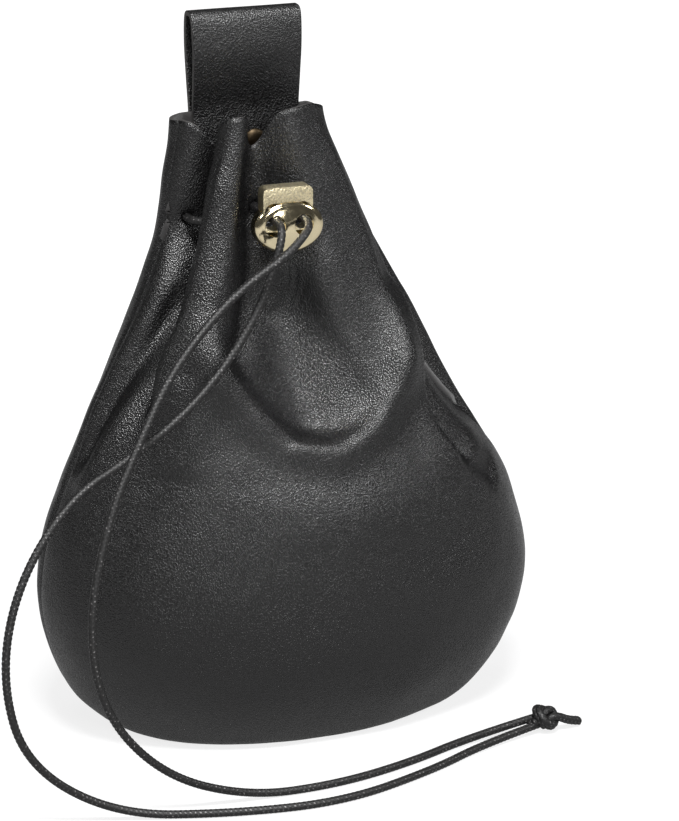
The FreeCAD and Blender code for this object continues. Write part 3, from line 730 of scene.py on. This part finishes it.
def braided_tube(name, line, look, mat, phase=0.0):
    """A round braid that follows a line: strands crossing over and under both ways."""
    points, length = even_points(line, BRAID_STEP)
    tangents = np.gradient(points, axis=0)
    tangents /= np.linalg.norm(tangents, axis=1)[:, None]
    side = np.cross(tangents[0], (0, 0, 1.0))
    if np.linalg.norm(side) < 0.1:
        side = np.cross(tangents[0], (1.0, 0, 0))
    frames = []
    for t in tangents:
        side = side - t * np.dot(side, t)
        side = side / np.linalg.norm(side)
        frames.append(side)
    side = np.array(frames)
    other = np.cross(tangents, side)
    along = np.linspace(0, length, len(points))[:, None]
    angle = np.linspace(0, 2 * math.pi, BRAID_SIDES + 1)[None, :]
    turn = 2 * math.pi * along / look.pitch
    one_way = np.cos(look.strands * (angle + turn) + phase)
    other_way = np.cos(look.strands * (angle - turn) - phase)
    over = np.abs(one_way) ** 0.7 * (0.7 + 0.3 * np.sign(one_way) * other_way)
    under = np.abs(other_way) ** 0.7 * (0.7 - 0.3 * np.sign(other_way) * one_way)
    crown = np.maximum(over, under)
    radius = look.diameter / 2 * (BRAID_VALLEY + BRAID_RISE * crown)
    grid = (points[:, None, :] + radius[..., None] * (np.cos(angle)[..., None] * side[:, None, :]
                                                      + np.sin(angle)[..., None] * other[:, None, :]))
    bm = grid_mesh(grid, crown)
    bmesh.ops.remove_doubles(bm, verts=bm.verts, dist=1e-7)
    bmesh.ops.holes_fill(bm, edges=[e for e in bm.edges if e.is_boundary], sides=0)
    bmesh.ops.recalc_face_normals(bm, faces=bm.faces)
    return finish_mesh(name, bm, [mat]), points, length


# ---- folds and dents worked into the leather ------------
# Each is lift in mm, width in mm on its left and right side, and its line as fold line number, height.
STROKES = [
    # the front dent and the rolled ridge that closes it like a U
    (-5.0, 10.0, 10.0, [(19.2, 140), (19.5, 124), (19.7, 111), (19.9, 99), (20.0, 91)]),
    (3.8, 6.5, 4.0, [(16.9, 134), (17.2, 123), (17.9, 110), (18.9, 96.5), (20.2, 89.5), (21.2, 94),
                     (21.9, 104), (22.2, 117), (22.3, 134)]),
    # the rounded crest that comes down the right flap into the ridge
    (1.6, 6.0, 3.0, [(22.1, 184), (22.25, 160), (22.3, 135), (22.2, 116), (22.0, 104)]),
    # a soft ridge that runs down across the dent from under the lock
    (1.2, 5.0, 8.0, [(20.3, 146), (20.6, 136), (21.1, 122), (21.6, 108), (21.8, 98)]),
    # the right flap lies over the side with a crisp folded edge
    (2.4, 8.0, 0.9, [(22.85, 134), (22.6, 120), (22.42, 104), (22.36, 88), (22.5, 76)]),
    (-3.0, 1.3, 8.0, [(23.05, 130), (22.85, 118), (22.64, 103), (22.58, 88), (22.70, 78)]),
    (-1.6, 4.0, 6.0, [(22.5, 84), (22.75, 77), (23.0, 71)]),
    # a deep valley between the main pleat and the lock
    (-3.0, 4.0, 5.0, [(18.9, 172), (18.8, 150), (18.6, 135), (18.3, 122), (18.0, 112)]),
    # left of the main pleat: a ridge, a valley and a second ridge fan out to the side
    (1.1, 5.0, 4.0, [(14.2, 150), (13.8, 130), (13.4, 111), (13.3, 84)]),
    (-2.4, 3.4, 3.4, [(14.4, 136), (14.2, 123), (13.85, 109), (13.6, 93), (13.5, 80)]),
    (1.5, 4.0, 6.0, [(15.8, 128), (14.7, 110), (14.1, 92), (13.7, 72)]),
    # the main pleat's sharp left edge and its soft end on the belly
    (0.9, 0.9, 4.5, [(16.5, 186), (16.45, 168), (16.35, 150), (16.2, 126), (15.6, 108), (15.2, 98)]),
    (0.8, 7.0, 7.0, [(16.7, 116), (16.8, 100), (16.9, 84)]),
]
# Share of a stroke's length over which it fades in and out.
STROKE_FADE = 0.22
STROKE_STEPS = 14
# Height in mm and turns per mm of the hide's irregular swells.
SWELLS = ((0.45, 0.045), (0.16, 0.13))
# Points round and up each panel's grid and under the base, front (-1) and back (1).
PANEL_GRID = {-1: (200, 158, 12), 1: (124, 132, 12)}
# Depth and width in mm of the groove along the seam and of the dimple at each cord hole.
GROOVE_DEPTH, GROOVE_WIDTH = 0.75, 1.5
DIMPLE_DEPTH, DIMPLE_WIDTH = 0.55, 3.2
# Fold line numbers near which the side seams run.
RIGHT_SEAM, LEFT_SEAM = 5.0, 13.2
# Millimetres: step along the neck run, the band of heights searched, and how near is near the leather.
NECK_STEP, NECK_Z, NECK_BAND, NEAR_LEATHER, AT_LEATHER = 0.3, 155, 12, 4.0, 1.1
# Millimetres: the lowest the leather lies, and how far each panel stops short of the seam plane.
LOWEST, SEAM_GAP = 0.02, 0.03
# Metres: what is cleared from a cord hole, its rim, and how deep the seam is turned in.
HOLE_CLEAR, HOLE_RADIUS = 0.00135, 0.00155
FLANGE, FLANGE_LESS = 0.004, 0.002


def stroke_line(spots):
    """A smooth line over the leather through a stroke's spots."""
    line = smooth_line(spots, STROKE_STEPS)
    return LEATHER.at(line[:, 0] % LINES, LEATHER.length_at(line[:, 1]))


def work_strokes(points, normals):
    """Lifts or sinks the leather along every stroke, sharp or soft on either side of it."""
    flat = points.reshape(-1, 3)
    out = normals.reshape(-1, 3)
    move = np.zeros(len(flat))
    for lift, left, right, spots in STROKES:
        line = stroke_line(spots)
        way = np.gradient(line, axis=0)
        near = np.where(np.linalg.norm(flat - line.mean(0), axis=1)
                        < np.linalg.norm(line - line.mean(0), axis=1).max() + 3 * max(left, right))[0]
        apart = flat[near][:, None, :] - line[None, :, :]
        distance = np.linalg.norm(apart, axis=2)
        nearest = distance.argmin(axis=1)
        k = np.arange(len(near))
        gap = distance[k, nearest]
        side = np.einsum("ij,ij->i", np.cross(out[near], way[nearest]), apart[k, nearest])
        width = np.where(side > 0, right, left)
        part = nearest / (len(line) - 1)
        fade = np.clip(np.minimum(part, 1 - part) / STROKE_FADE, 0, 1)
        fade = fade * fade * (3 - 2 * fade)
        move[near] += lift * fade * np.exp(-(gap / width) ** 2)
    return (flat + out * move[:, None]).reshape(points.shape)


def soften(points, normals):
    """Small irregular swells, as in any soft hide."""
    flat = points.reshape(-1, 3)
    out = normals.reshape(-1, 3)
    swell = [sum(high * noise.noise(Vector(p) * turns) for high, turns in SWELLS) for p in flat]
    return (flat + out * np.array(swell)[:, None]).reshape(points.shape)


def neck_crossings(points, normals):
    """Where the cord passes through the leather, and which way it runs there."""
    line, _ = even_points(spline_points(NECK_RUN) / MM, NECK_STEP)
    flat = points[:, 1:-1].reshape(-1, 3)
    out = normals[:, 1:-1].reshape(-1, 3)
    close = np.abs(flat[:, 2] - NECK_Z) < NECK_BAND
    flat = flat[close]
    out = out[close]
    found = []
    before = None
    for i, p in enumerate(line):
        apart = p - flat
        k = np.argmin(np.einsum("ij,ij->i", apart, apart))
        if np.linalg.norm(apart[k]) > NEAR_LEATHER:
            before = None
            continue
        side = float(np.dot(apart[k], out[k])) > 0
        if before is not None and side != before and np.linalg.norm(apart[k]) < AT_LEATHER:
            way = line[min(i + 1, len(line) - 1)] - line[i - 1]
            found.append((p, way / np.linalg.norm(way)))
        before = side
    return found


def panel_grid(side, cols, rows, under):
    """One panel's outside in mm: from the seam under the base, up to the mouth."""
    table = np.linspace(0, LEATHER.along[-1], 240)
    right = LEATHER.seam(RIGHT_SEAM, table)
    left = LEATHER.seam(LEFT_SEAM, table)
    across = np.linspace(0, 1, cols)
    start, stop = (left, right + LINES) if side < 0 else (right, left)

    def lines(c, s):
        a = np.interp(s, table, start)
        b = np.interp(s, table, stop)
        return a + (b - a) * c

    top = np.full(cols, LEATHER.length_at(180.0))
    for _ in range(4):
        top = LEATHER.length_at(LEATHER.rim(lines(across, top) % LINES))
    grid = []
    out = []
    for t in np.linspace(0, 1, rows):
        s = top * t
        grid.append(LEATHER.at(lines(across, s) % LINES, s))
        out.append(LEATHER.normal(lines(across, s) % LINES, s))
    ring = grid[0]
    base = []
    down = np.tile([0.0, 0.0, -1.0], (cols, 1))
    for f in np.linspace(1, 0, under, endpoint=False):
        row = ring.copy()
        row[:, 1] += (SEAM_Y - ring[:, 1]) * f
        row[:, 0] *= 1 - 0.02 * f
        base.append(row)
    return np.array(base + grid), np.array([down] * under + out)


def build_panel(name, side, look, mats):
    """One sewn panel with its turned-in seam, cord holes and lining."""
    points, normals = panel_grid(side, *PANEL_GRID[side])
    points = work_strokes(points, normals)
    points = soften(points, normals)
    holes = neck_crossings(points, normals)
    groove = np.exp(-((points[..., 1] - SEAM_Y) / GROOVE_WIDTH) ** 2) * GROOVE_DEPTH
    points = points - normals * groove[..., None]
    for centre, _ in holes:
        reach = np.linalg.norm(points - centre, axis=2)
        points = points - normals * (DIMPLE_DEPTH * np.exp(-(reach / DIMPLE_WIDTH) ** 2))[..., None]
    points[..., 2] = np.maximum(points[..., 2], LOWEST)
    edge = SEAM_Y + side * SEAM_GAP
    points[0, :, 1] = edge
    points[:, 0, 1] = edge
    points[:, -1, 1] = edge
    bm = grid_mesh(points * MM)
    for centre, way in holes:
        centre = Vector(centre * MM)
        way = Vector(way)
        gone = []
        for v in bm.verts:
            apart = v.co - centre
            if apart.length < 0.0045 and (apart - way * apart.dot(way)).length < HOLE_CLEAR:
                gone.append(v)
        bmesh.ops.delete(bm, geom=gone, context="VERTS")
        for v in bm.verts:
            apart = v.co - centre
            radial = apart - way * apart.dot(way)
            if v.is_boundary and apart.length < 0.006 and radial.length > 1e-5:
                v.co += radial.normalized() * (HOLE_RADIUS - radial.length)
    bmesh.ops.remove_doubles(bm, verts=bm.verts, dist=2e-6)
    bm.normal_update()
    seam = [e for e in bm.edges if e.is_boundary
            and all(abs(v.co.y - edge * MM) < 1e-6 for v in e.verts)]
    ways = {v: v.normal.copy() for e in seam for v in e.verts}
    grown = bmesh.ops.extrude_edge_only(bm, edges=seam)
    for v in [g for g in grown["geom"] if isinstance(g, bmesh.types.BMVert)]:
        match = min(ways, key=lambda w: (w.co - v.co).length_squared)
        high = min(1.0, max(0.0, (v.co.z - 0.05) / 0.03))
        inward = Vector((-ways[match].x, 0, -ways[match].z)) * (1 - high)
        inward.x -= math.copysign(high, v.co.x + 0.009)
        if inward.length < 0.2 or v.co.z < 0.012:
            inward = Vector((0, 0, 1))
        v.co += inward.normalized() * (FLANGE - FLANGE_LESS * high)
    bm.normal_update()
    obj = finish_mesh(name, bm, mats)
    wall = obj.modifiers.new("wall", "SOLIDIFY")
    wall.thickness = look.wall
    wall.offset = -1.0
    wall.use_even_offset = False
    wall.use_quality_normals = True
    wall.material_offset = 1
    wall.material_offset_rim = 2
    return baked(obj)


# ---- belt loop ------------
# Millimetres.
STRAP_TOP, STRAP_WALL, STRAP_X, STRAP_WIDE = 209.6, 1.5, -5.0, 32.0


def belt_loop_mesh(mats):
    """The folded strap: one leg in the pouch, one behind it, a soft crown."""
    inner, outer, middle, spread_y = 16.05, 19.95, 18.0, 3.9
    crown = STRAP_TOP - STRAP_WALL / 2
    knots = [(inner, 163), (inner, 173), (inner, 181), (middle - spread_y * 0.80, 190),
             (middle - spread_y, 199), (middle - spread_y * 0.72, crown - 1.4), (middle, crown),
             (middle + spread_y * 0.72, crown - 1.4), (middle + spread_y, 199),
             (middle + spread_y * 0.80, 190), (outer, 181), (outer, 173), (outer, 163)]
    line = smooth_line(knots, 8)
    cols = 41
    grid = np.zeros((len(line), cols, 3))
    for k, (y, z) in enumerate(line):
        wide = STRAP_WIDE + 1.1 * max(0.0, (z - 175) / 34)
        for m in range(cols):
            f = m / (cols - 1) - 0.5
            bow = 0.16 * math.sin(f * 5.0 + z * 0.09) + 0.1 * math.sin(z * 0.21 + f * 3)
            grid[k, m] = (STRAP_X - wide * f, y + bow, z)
    obj = finish_mesh("belt_loop_strap", grid_mesh(grid * MM), mats)
    wall = obj.modifiers.new("wall", "SOLIDIFY")
    wall.thickness = STRAP_WALL * MM
    wall.offset = 0.0
    wall.material_offset_rim = 1
    round_edges(obj, 0.00032, 60)
    baked(obj)
    obj.data.shade_smooth()
    return obj


# ---- rivet ------------
# Share of the solid cap's radius that is seen, and the dome's rise and rim in metres.
RIVET_SHARE, RIVET_RISE, RIVET_RIM = 0.84, 0.0011, 0.0002


def rivet_dome(name, node, facing, mat):
    """A pressed rivet cap: thin flange, rolled rim and shallow dome. facing is -1 for the front one."""
    low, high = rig.box(node)
    cx = (low[0] + high[0]) / 2
    cz = (low[2] + high[2]) / 2
    radius = (high[0] - low[0]) / 2 * RIVET_SHARE
    front = low[1] if facing < 0 else high[1]
    back = high[1] if facing < 0 else low[1]
    flange = front - facing * RIVET_RISE
    under = flange - facing * RIVET_RIM
    profile = [(r, front - facing * RIVET_RISE * fall) for r, fall in (
        (0.0, 0.0), (0.25, 0.03), (0.5, 0.13), (0.72, 0.33), (0.88, 0.62), (0.97, 0.85), (1.0, 0.97))]
    profile += [(0.96, under), (0.4, under)]
    profile += [(0.4, back), (0.0, back)] if abs(back - flange) > 0.0004 else [(0.0, under)]
    bm = turned([(r * radius, y) for r, y in profile], cx, cz, 48)
    bmesh.ops.recalc_face_normals(bm, faces=bm.faces)
    return finish_mesh(name, bm, [mat], sharp=50)


# ---- cord lock ------------
# All in metres. How far the visible body stands past the solid at its low and high corners.
BODY_LOW, BODY_HIGH = (0.0003, 0.0, -0.0012), (0.0005, 0.0, 0.0010)
FACE_DOME = 0.0013
BODY_HOLES_Z = 0.1552
PLUNGER_HOLES_Z = (0.1568, 0.1587)
POCKET_Z, POCKET_GAP, POCKET_LESS = 0.1496, 0.00015, 0.00045
PLUNGER_THIN, PLUNGER_SHORT, SHOULDER = 0.0006, 0.0012, 0.0017
BORE_RAISED, BORE_DEPTH, BORE_GAP = 0.0026, 0.0060, 0.0001
THROUGH = 0.01


def post(name, radius, depth, sides, matrix):
    """A round cutter along Z, placed by its matrix."""
    bm = bmesh.new()
    bmesh.ops.create_cone(bm, cap_ends=True, segments=sides, radius1=radius, radius2=radius, depth=depth,
                          matrix=matrix)
    return finish_mesh(name, bm, [])


def cord_ways(look, low, high, heights):
    """Cutters for the two cord holes, through from low to high along Y, at each height."""
    y0, y1 = low[1] - THROUGH, high[1] + THROUGH
    along_y = Matrix.Rotation(math.pi / 2, 4, "X")
    return [post("way%d%d" % (k, n), look.hole / 2, y1 - y0, 48,
                 Matrix.Translation((x * MM, (y0 + y1) / 2, z)) @ along_y)
            for k, x in enumerate((LEFT_X, RIGHT_X)) for n, z in enumerate(heights)]


def lock_body_mesh(look, mat):
    """Oval barrel with rounded rims, two cord holes and the plunger's pocket."""
    low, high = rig.box("lock_body")
    low = tuple(a + b for a, b in zip(low, BODY_LOW))
    high = tuple(a + b for a, b in zip(high, BODY_HIGH))
    cx, cz = (low[0] + high[0]) / 2, (low[2] + high[2]) / 2
    half_deep = (high[1] - low[1]) / 2
    cy = (low[1] + high[1]) / 2
    half_wide = (high[0] - low[0]) / 2
    flat = half_wide - look.rounding
    profile = [(flat * f, half_deep - FACE_DOME * f * f) for f in (0.0, 0.25, 0.5, 0.75, 0.9, 1.0)]
    for step in range(1, 9):
        t = step / 8 * math.pi / 2
        profile.append((flat + look.rounding * math.sin(t),
                        half_deep - FACE_DOME - look.rounding * 0.8 * (1 - math.cos(t))))
    profile += [(r, -y) for r, y in reversed(profile)]
    bm = turned(profile, 0, 0, 96)
    for v in bm.verts:
        v.co = (cx + v.co.x, cy + v.co.y, cz + v.co.z * (high[2] - low[2]) / 2 / half_wide)
    bmesh.ops.recalc_face_normals(bm, faces=bm.faces)
    body = finish_mesh("cord_lock_body", bm, [mat])
    plunger_low, plunger_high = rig.box("lock_plunger")
    pocket = box_mesh((plunger_low[0] - POCKET_GAP, plunger_low[1] + POCKET_LESS, POCKET_Z),
                      (plunger_high[0] + POCKET_GAP, plunger_high[1] - POCKET_LESS, high[2] + THROUGH))
    cut_away(body, [finish_mesh("pocket", pocket, [])] + cord_ways(look, low, high, (BODY_HOLES_Z,)))
    crisp_edges(body, 0.0003)
    return body


def plunger_mesh(look, mat):
    """The plunger block: rounded shoulders, two slots that pinch the cords, and the spring's bore."""
    low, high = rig.box("lock_plunger")
    low = (low[0], low[1] + PLUNGER_THIN, low[2])
    high = (high[0], high[1] - PLUNGER_THIN, high[2] - PLUNGER_SHORT)
    bm = box_mesh(low, high)
    shoulders = [e for e in bm.edges if all(v.co.z > high[2] - 1e-6 for v in e.verts)
                 and abs(e.verts[0].co.x - e.verts[1].co.x) < 1e-6]
    bmesh.ops.bevel(bm, geom=shoulders, offset=SHOULDER, offset_type="OFFSET", segments=8,
                    profile=0.5, affect="EDGES", material=-1)
    bmesh.ops.recalc_face_normals(bm, faces=bm.faces)
    obj = finish_mesh("cord_lock_plunger", bm, [mat])
    spring_low, spring_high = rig.box("lock_spring")
    reach = (spring_high[0] - spring_low[0]) / 2 + BORE_GAP
    middle = ((spring_low[0] + spring_high[0]) / 2, (spring_low[1] + spring_high[1]) / 2,
              low[2] + BORE_RAISED)
    bore = post("bore", reach, BORE_DEPTH, 40, Matrix.Translation(middle))
    cut_away(obj, cord_ways(look, low, high, PLUNGER_HOLES_Z) + [bore])
    crisp_edges(obj, 0.00035)
    return obj


# ---- end knot ------------
KNOT_AT = (66.2, -44.4, 4.0)


def knot_line(shift, grow):
    """One strand of the overhand knot, in millimetres."""
    turns = [(-4.6, -0.8, -1.0), (-2.6, -0.4, -0.6), (0.2, 0.9, 1.6), (2.6, 2.4, 1.0), (3.0, 0.6, -1.6),
             (0.6, -2.6, -1.8), (-2.6, -2.6, 0.8), (-2.4, 0.8, 2.6), (0.4, 2.8, 1.2), (1.0, 2.2, -1.8),
             (-0.8, -0.6, -2.2), (0.6, -1.6, 0.6), (3.2, -1.0, 0.2), (6.2, -0.6, -1.5), (9.4, 0.2, -2.3)]
    return [tuple(a + b * grow + c for a, b, c in zip(KNOT_AT, turn, shift)) for turn in turns]


# ---- operators ------------
class DICEBAG_OT_cord(Operator):
    """Lace the neck, hang both tails from the lock and tie the end knot"""
    bl_idname = "dicebag.cord"
    bl_label = "Drawstring"

    def execute(self, context):
        look = context.scene.dicebag_cord
        mat = cord_finish(look)
        knot = braided_knot(look, mat)
        for name, node, route, body, far, lay, extra in (
                ("drawstring_left", "drawstring_left_tail", LEFT_TAIL, "cord_lock", "knot", "hanging",
                 [knot]),
                ("drawstring_right", "drawstring_right_tail", RIGHT_TAIL, "cord_lock", "knot", "hanging",
                 []),
                ("drawstring_neck", "drawstring_neck_run", NECK_RUN, "pouch", "object", "taut", [])):
            obj, path, length = braided_tube(name, spline_points(route), look, mat)
            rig.ride(obj, body)
            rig.replaces(obj, node)
            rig.slot(obj, "cord")
            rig.cord(obj, exit=tuple(path[0]), length=length, diameter=look.diameter, far_end=far,
                    stiffness="limp", lay=lay, path=[tuple(p) for p in path[::4]] + [tuple(path[-1])],
                    with_pieces=extra)
        return {"FINISHED"}


class DICEBAG_OT_pouch(Operator):
    """Make the two gathered leather panels with their seam, lining and cord holes"""
    bl_idname = "dicebag.pouch"
    bl_label = "Pouch"

    def execute(self, context):
        look = context.scene.dicebag_leather
        mats = [leather_finish("pebbled_leather", look), lining_finish(look), edge_finish(look)]
        for name, node, side in (("pouch_front", "front_panel", -1), ("pouch_back", "back_panel", 1)):
            obj = build_panel(name, side, look, mats)
            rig.ride(obj, "pouch")
            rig.replaces(obj, node)
            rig.slot(obj, "leather")
        paint("seam_thread", thread_finish())
        return {"FINISHED"}


class DICEBAG_OT_belt_loop(Operator):
    """Fold the leather strap that a belt goes through"""
    bl_idname = "dicebag.belt_loop"
    bl_label = "Belt loop"

    def execute(self, context):
        look = context.scene.dicebag_leather
        strap = belt_loop_mesh([leather_finish("strap_leather", look, 1.05), edge_finish(look)])
        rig.ride(strap, "loop")
        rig.replaces(strap, "belt_loop")
        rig.slot(strap, "strap_leather")
        return {"FINISHED"}


class DICEBAG_OT_rivet(Operator):
    """Set the two caps of the rivet that holds the belt loop"""
    bl_idname = "dicebag.rivet"
    bl_label = "Rivet"

    def execute(self, context):
        mat = plain_metal("rivet_brass", context.scene.dicebag_metal.brass, 0.42, 1500.0)
        for name, node, facing in (("rivet_front", "rivet_post_cap", -1),
                                   ("rivet_back", "rivet_rear_cap", 1)):
            obj = rivet_dome(name, node, facing, mat)
            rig.ride(obj, "pouch")
            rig.replaces(obj, node)
            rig.slot(obj, "rivet_brass")
        return {"FINISHED"}


class DICEBAG_OT_cord_lock(Operator):
    """Make the polished lock body and its cast plunger, and give the spring under it its finish"""
    bl_idname = "dicebag.cord_lock"
    bl_label = "Cord lock"

    def execute(self, context):
        look = context.scene.dicebag_metal
        body = lock_body_mesh(look, polished_finish(look))
        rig.ride(body, "cord_lock")
        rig.replaces(body, "lock_body")
        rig.slot(body, "lock_brass")
        plunger = plunger_mesh(look, cast_finish(look))
        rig.ride(plunger, "plunger")
        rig.replaces(plunger, "lock_plunger")
        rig.slot(plunger, "plunger_brass")
        paint("lock_spring", plain_metal("spring_steel", (0.55, 0.55, 0.56), 0.25, 2200.0))
        return {"FINISHED"}


class DICEBAG_OT_stage(Operator):
    """Lay the floor and set the lamps, the background and the camera"""
    bl_idname = "dicebag.stage"
    bl_label = "Stage"

    def execute(self, context):
        scene = context.scene
        bm = bmesh.new()
        bmesh.ops.create_grid(bm, x_segments=2, y_segments=2, size=1.5)
        floor = finish_mesh("floor", bm, [floor_finish()])
        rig.stage(floor)
        for name, place, size, power in LAMPS:
            lamp = bpy.data.lights.new(name, "AREA")
            lamp.shape = "RECTANGLE"
            lamp.size, lamp.size_y = size
            lamp.energy = power
            obj = bpy.data.objects.new(name, lamp)
            obj.location = place
            obj.rotation_euler = (Vector(LAMP_AIM) - Vector(place)).to_track_quat("-Z", "Y").to_euler()
            scene.collection.objects.link(obj)
        scene.world = world_light()
        camera = bpy.data.cameras.new("camera")
        camera.lens = LENS_MM
        camera.sensor_width = SENSOR_MM
        camera.clip_start = 0.05
        camera.dof.use_dof = False
        eye = bpy.data.objects.new("camera", camera)
        eye.location = CAMERA_PLACE
        eye.rotation_euler = (Vector(CAMERA_AIM) - eye.location).to_track_quat("-Z", "Y").to_euler()
        scene.collection.objects.link(eye)
        scene.camera = eye
        scene.view_settings.view_transform = "Standard"
        return {"FINISHED"}


def paint(node, mat):
    """Gives a carried-over part its finish."""
    obj = frame["nodes"][node]
    if not obj.material_slots:
        obj.data.materials.append(mat)
    for place in obj.material_slots:
        place.material = mat


def braided_knot(look, mat):
    """Both cords tied together in one overhand knot, with cut ends."""
    bm = bmesh.new()
    for k, (shift, grow) in enumerate((((0, 0, 0), 1.2), ((0.2, -1.3, 0.7), 1.05))):
        obj, _, _ = braided_tube("knot_strand%d" % k, spline_points(knot_line(shift, grow)), look, mat, 1.0)
        bm.from_mesh(obj.data)
        drop(obj, bpy.data.meshes)
    knot = finish_mesh("cord_knot", bm, [mat])
    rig.ride(knot, "cord_lock")
    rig.replaces(knot, "end_knot")
    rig.slot(knot, "cord")
    return knot


# ---- stage ------------
# Name, place, width and height in metres, watts.
LAMPS = [
    ("key", (-0.20, -0.70, 1.25), (0.34, 0.26), 24.0),
    ("front", (-0.05, -1.10, 0.62), (0.35, 0.30), 4.5),
    ("right", (1.00, -0.60, 0.85), (0.22, 0.22), 4.5),
    ("left", (-0.90, -0.20, 0.90), (0.25, 0.25), 2.5),
    ("top", (0.05, 0.25, 1.2), (0.5, 0.4), 2.0),
]
LAMP_AIM = (0, 0, 0.1)
CAMERA_PLACE = (-0.33980, -0.98307, 0.43092)
CAMERA_AIM = (0.018, 0.0, 0.091)
LENS_MM, SENSOR_MM = 164.0, 36.0


def seen_level(net, gloss):
    """One for the camera and through glass, gloss for reflections, nothing for the rest."""
    path = net.nodes.new("ShaderNodeLightPath")
    seen = maths(net, "MAXIMUM", path.outputs["Is Camera Ray"], path.outputs["Is Transmission Ray"])
    shine = maths(net, "MULTIPLY", path.outputs["Is Glossy Ray"], gloss)
    return maths(net, "MAXIMUM", seen, shine), path


def floor_finish():
    """Floor that is white to the camera through its glow, faint in gloss, and keeps the shadow."""
    mat, net, shader, where = material("pale_floor")
    fleck = noise_node(net, where, 300.0, 2.0)
    two_colours(net, shader, fleck, (0.19, 0.19, 0.192), (0.21, 0.21, 0.212))
    preset(shader, Roughness=0.9, Specular_IOR_Level=0.1)
    glow = net.nodes.new("ShaderNodeEmission")
    preset(glow, Color=(1, 1, 1, 1))
    seen, _ = seen_level(net, 0.25)
    away = net.nodes.new("ShaderNodeVectorMath")
    away.operation = "LENGTH"
    net.links.new(where, away.inputs[0])
    level = spread(net, away.outputs["Value"], 0.12, 0.45, 0.80, 1.0)
    net.links.new(maths(net, "MULTIPLY", seen, level), glow.inputs["Strength"])
    both = net.nodes.new("ShaderNodeAddShader")
    out = next(n for n in net.nodes if n.type == "OUTPUT_MATERIAL")
    net.links.new(shader.outputs["BSDF"], both.inputs[0])
    net.links.new(glow.outputs["Emission"], both.inputs[1])
    net.links.new(both.outputs["Shader"], out.inputs["Surface"])
    return mat


def world_light():
    """White to the camera, faint in gloss, a quiet fill for the rest."""
    world = bpy.data.worlds.new("surroundings")
    world.use_nodes = True
    net = world.node_tree
    net.nodes.clear()
    out = net.nodes.new("ShaderNodeOutputWorld")
    glow = net.nodes.new("ShaderNodeBackground")
    preset(glow, Color=(1, 1, 1, 1))
    level, path = seen_level(net, 0.05)
    soft = maths(net, "MULTIPLY", path.outputs["Is Diffuse Ray"], 0.16)
    net.links.new(maths(net, "MAXIMUM", level, soft), glow.inputs["Strength"])
    net.links.new(glow.outputs["Background"], out.inputs["Surface"])
    return world


class DICEBAG_PT_panel(Panel):
    """Sizes, colours and steps of the dice bag"""
    bl_idname = "DICEBAG_PT_panel"
    bl_label = "Dice bag"
    bl_space_type = "VIEW_3D"
    bl_region_type = "UI"
    bl_category = "Dice Bag"

    def draw(self, context):
        layout = self.layout
        for group in (context.scene.dicebag_leather, context.scene.dicebag_cord, context.scene.dicebag_metal):
            box = layout.box()
            for key in group.bl_rna.properties.keys():
                if key not in ("rna_type", "name"):
                    box.prop(group, key)
        for step in STEPS:
            layout.operator(step.bl_idname)


STEPS = (DICEBAG_OT_cord, DICEBAG_OT_pouch, DICEBAG_OT_belt_loop, DICEBAG_OT_rivet, DICEBAG_OT_cord_lock,
         DICEBAG_OT_stage)
CLASSES = (LeatherLook, CordLook, MetalLook) + STEPS + (DICEBAG_PT_panel,)


def register():
    for cls in CLASSES:
        bpy.utils.register_class(cls)
    bpy.types.Scene.dicebag_leather = PointerProperty(type=LeatherLook)
    bpy.types.Scene.dicebag_cord = PointerProperty(type=CordLook)
    bpy.types.Scene.dicebag_metal = PointerProperty(type=MetalLook)


def unregister():
    del bpy.types.Scene.dicebag_leather
    del bpy.types.Scene.dicebag_cord
    del bpy.types.Scene.dicebag_metal
    for cls in reversed(CLASSES):
        bpy.utils.unregister_class(cls)


def main():
    """Builds the whole bag and writes the two boxes."""
    register()
    bpy.ops.dicebag.stage()
    bpy.ops.dicebag.cord()
    bpy.ops.dicebag.pouch()
    bpy.ops.dicebag.belt_loop()
    bpy.ops.dicebag.rivet()
    bpy.ops.dicebag.cord_lock()
    with open("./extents.json", "w") as out:
        json.dump({"cad": [list(map(float, p)) for p in CAD_BOX],
                   "visual": [list(map(float, p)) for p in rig.bounds()]}, out)


if __name__ == "__main__":
    main()
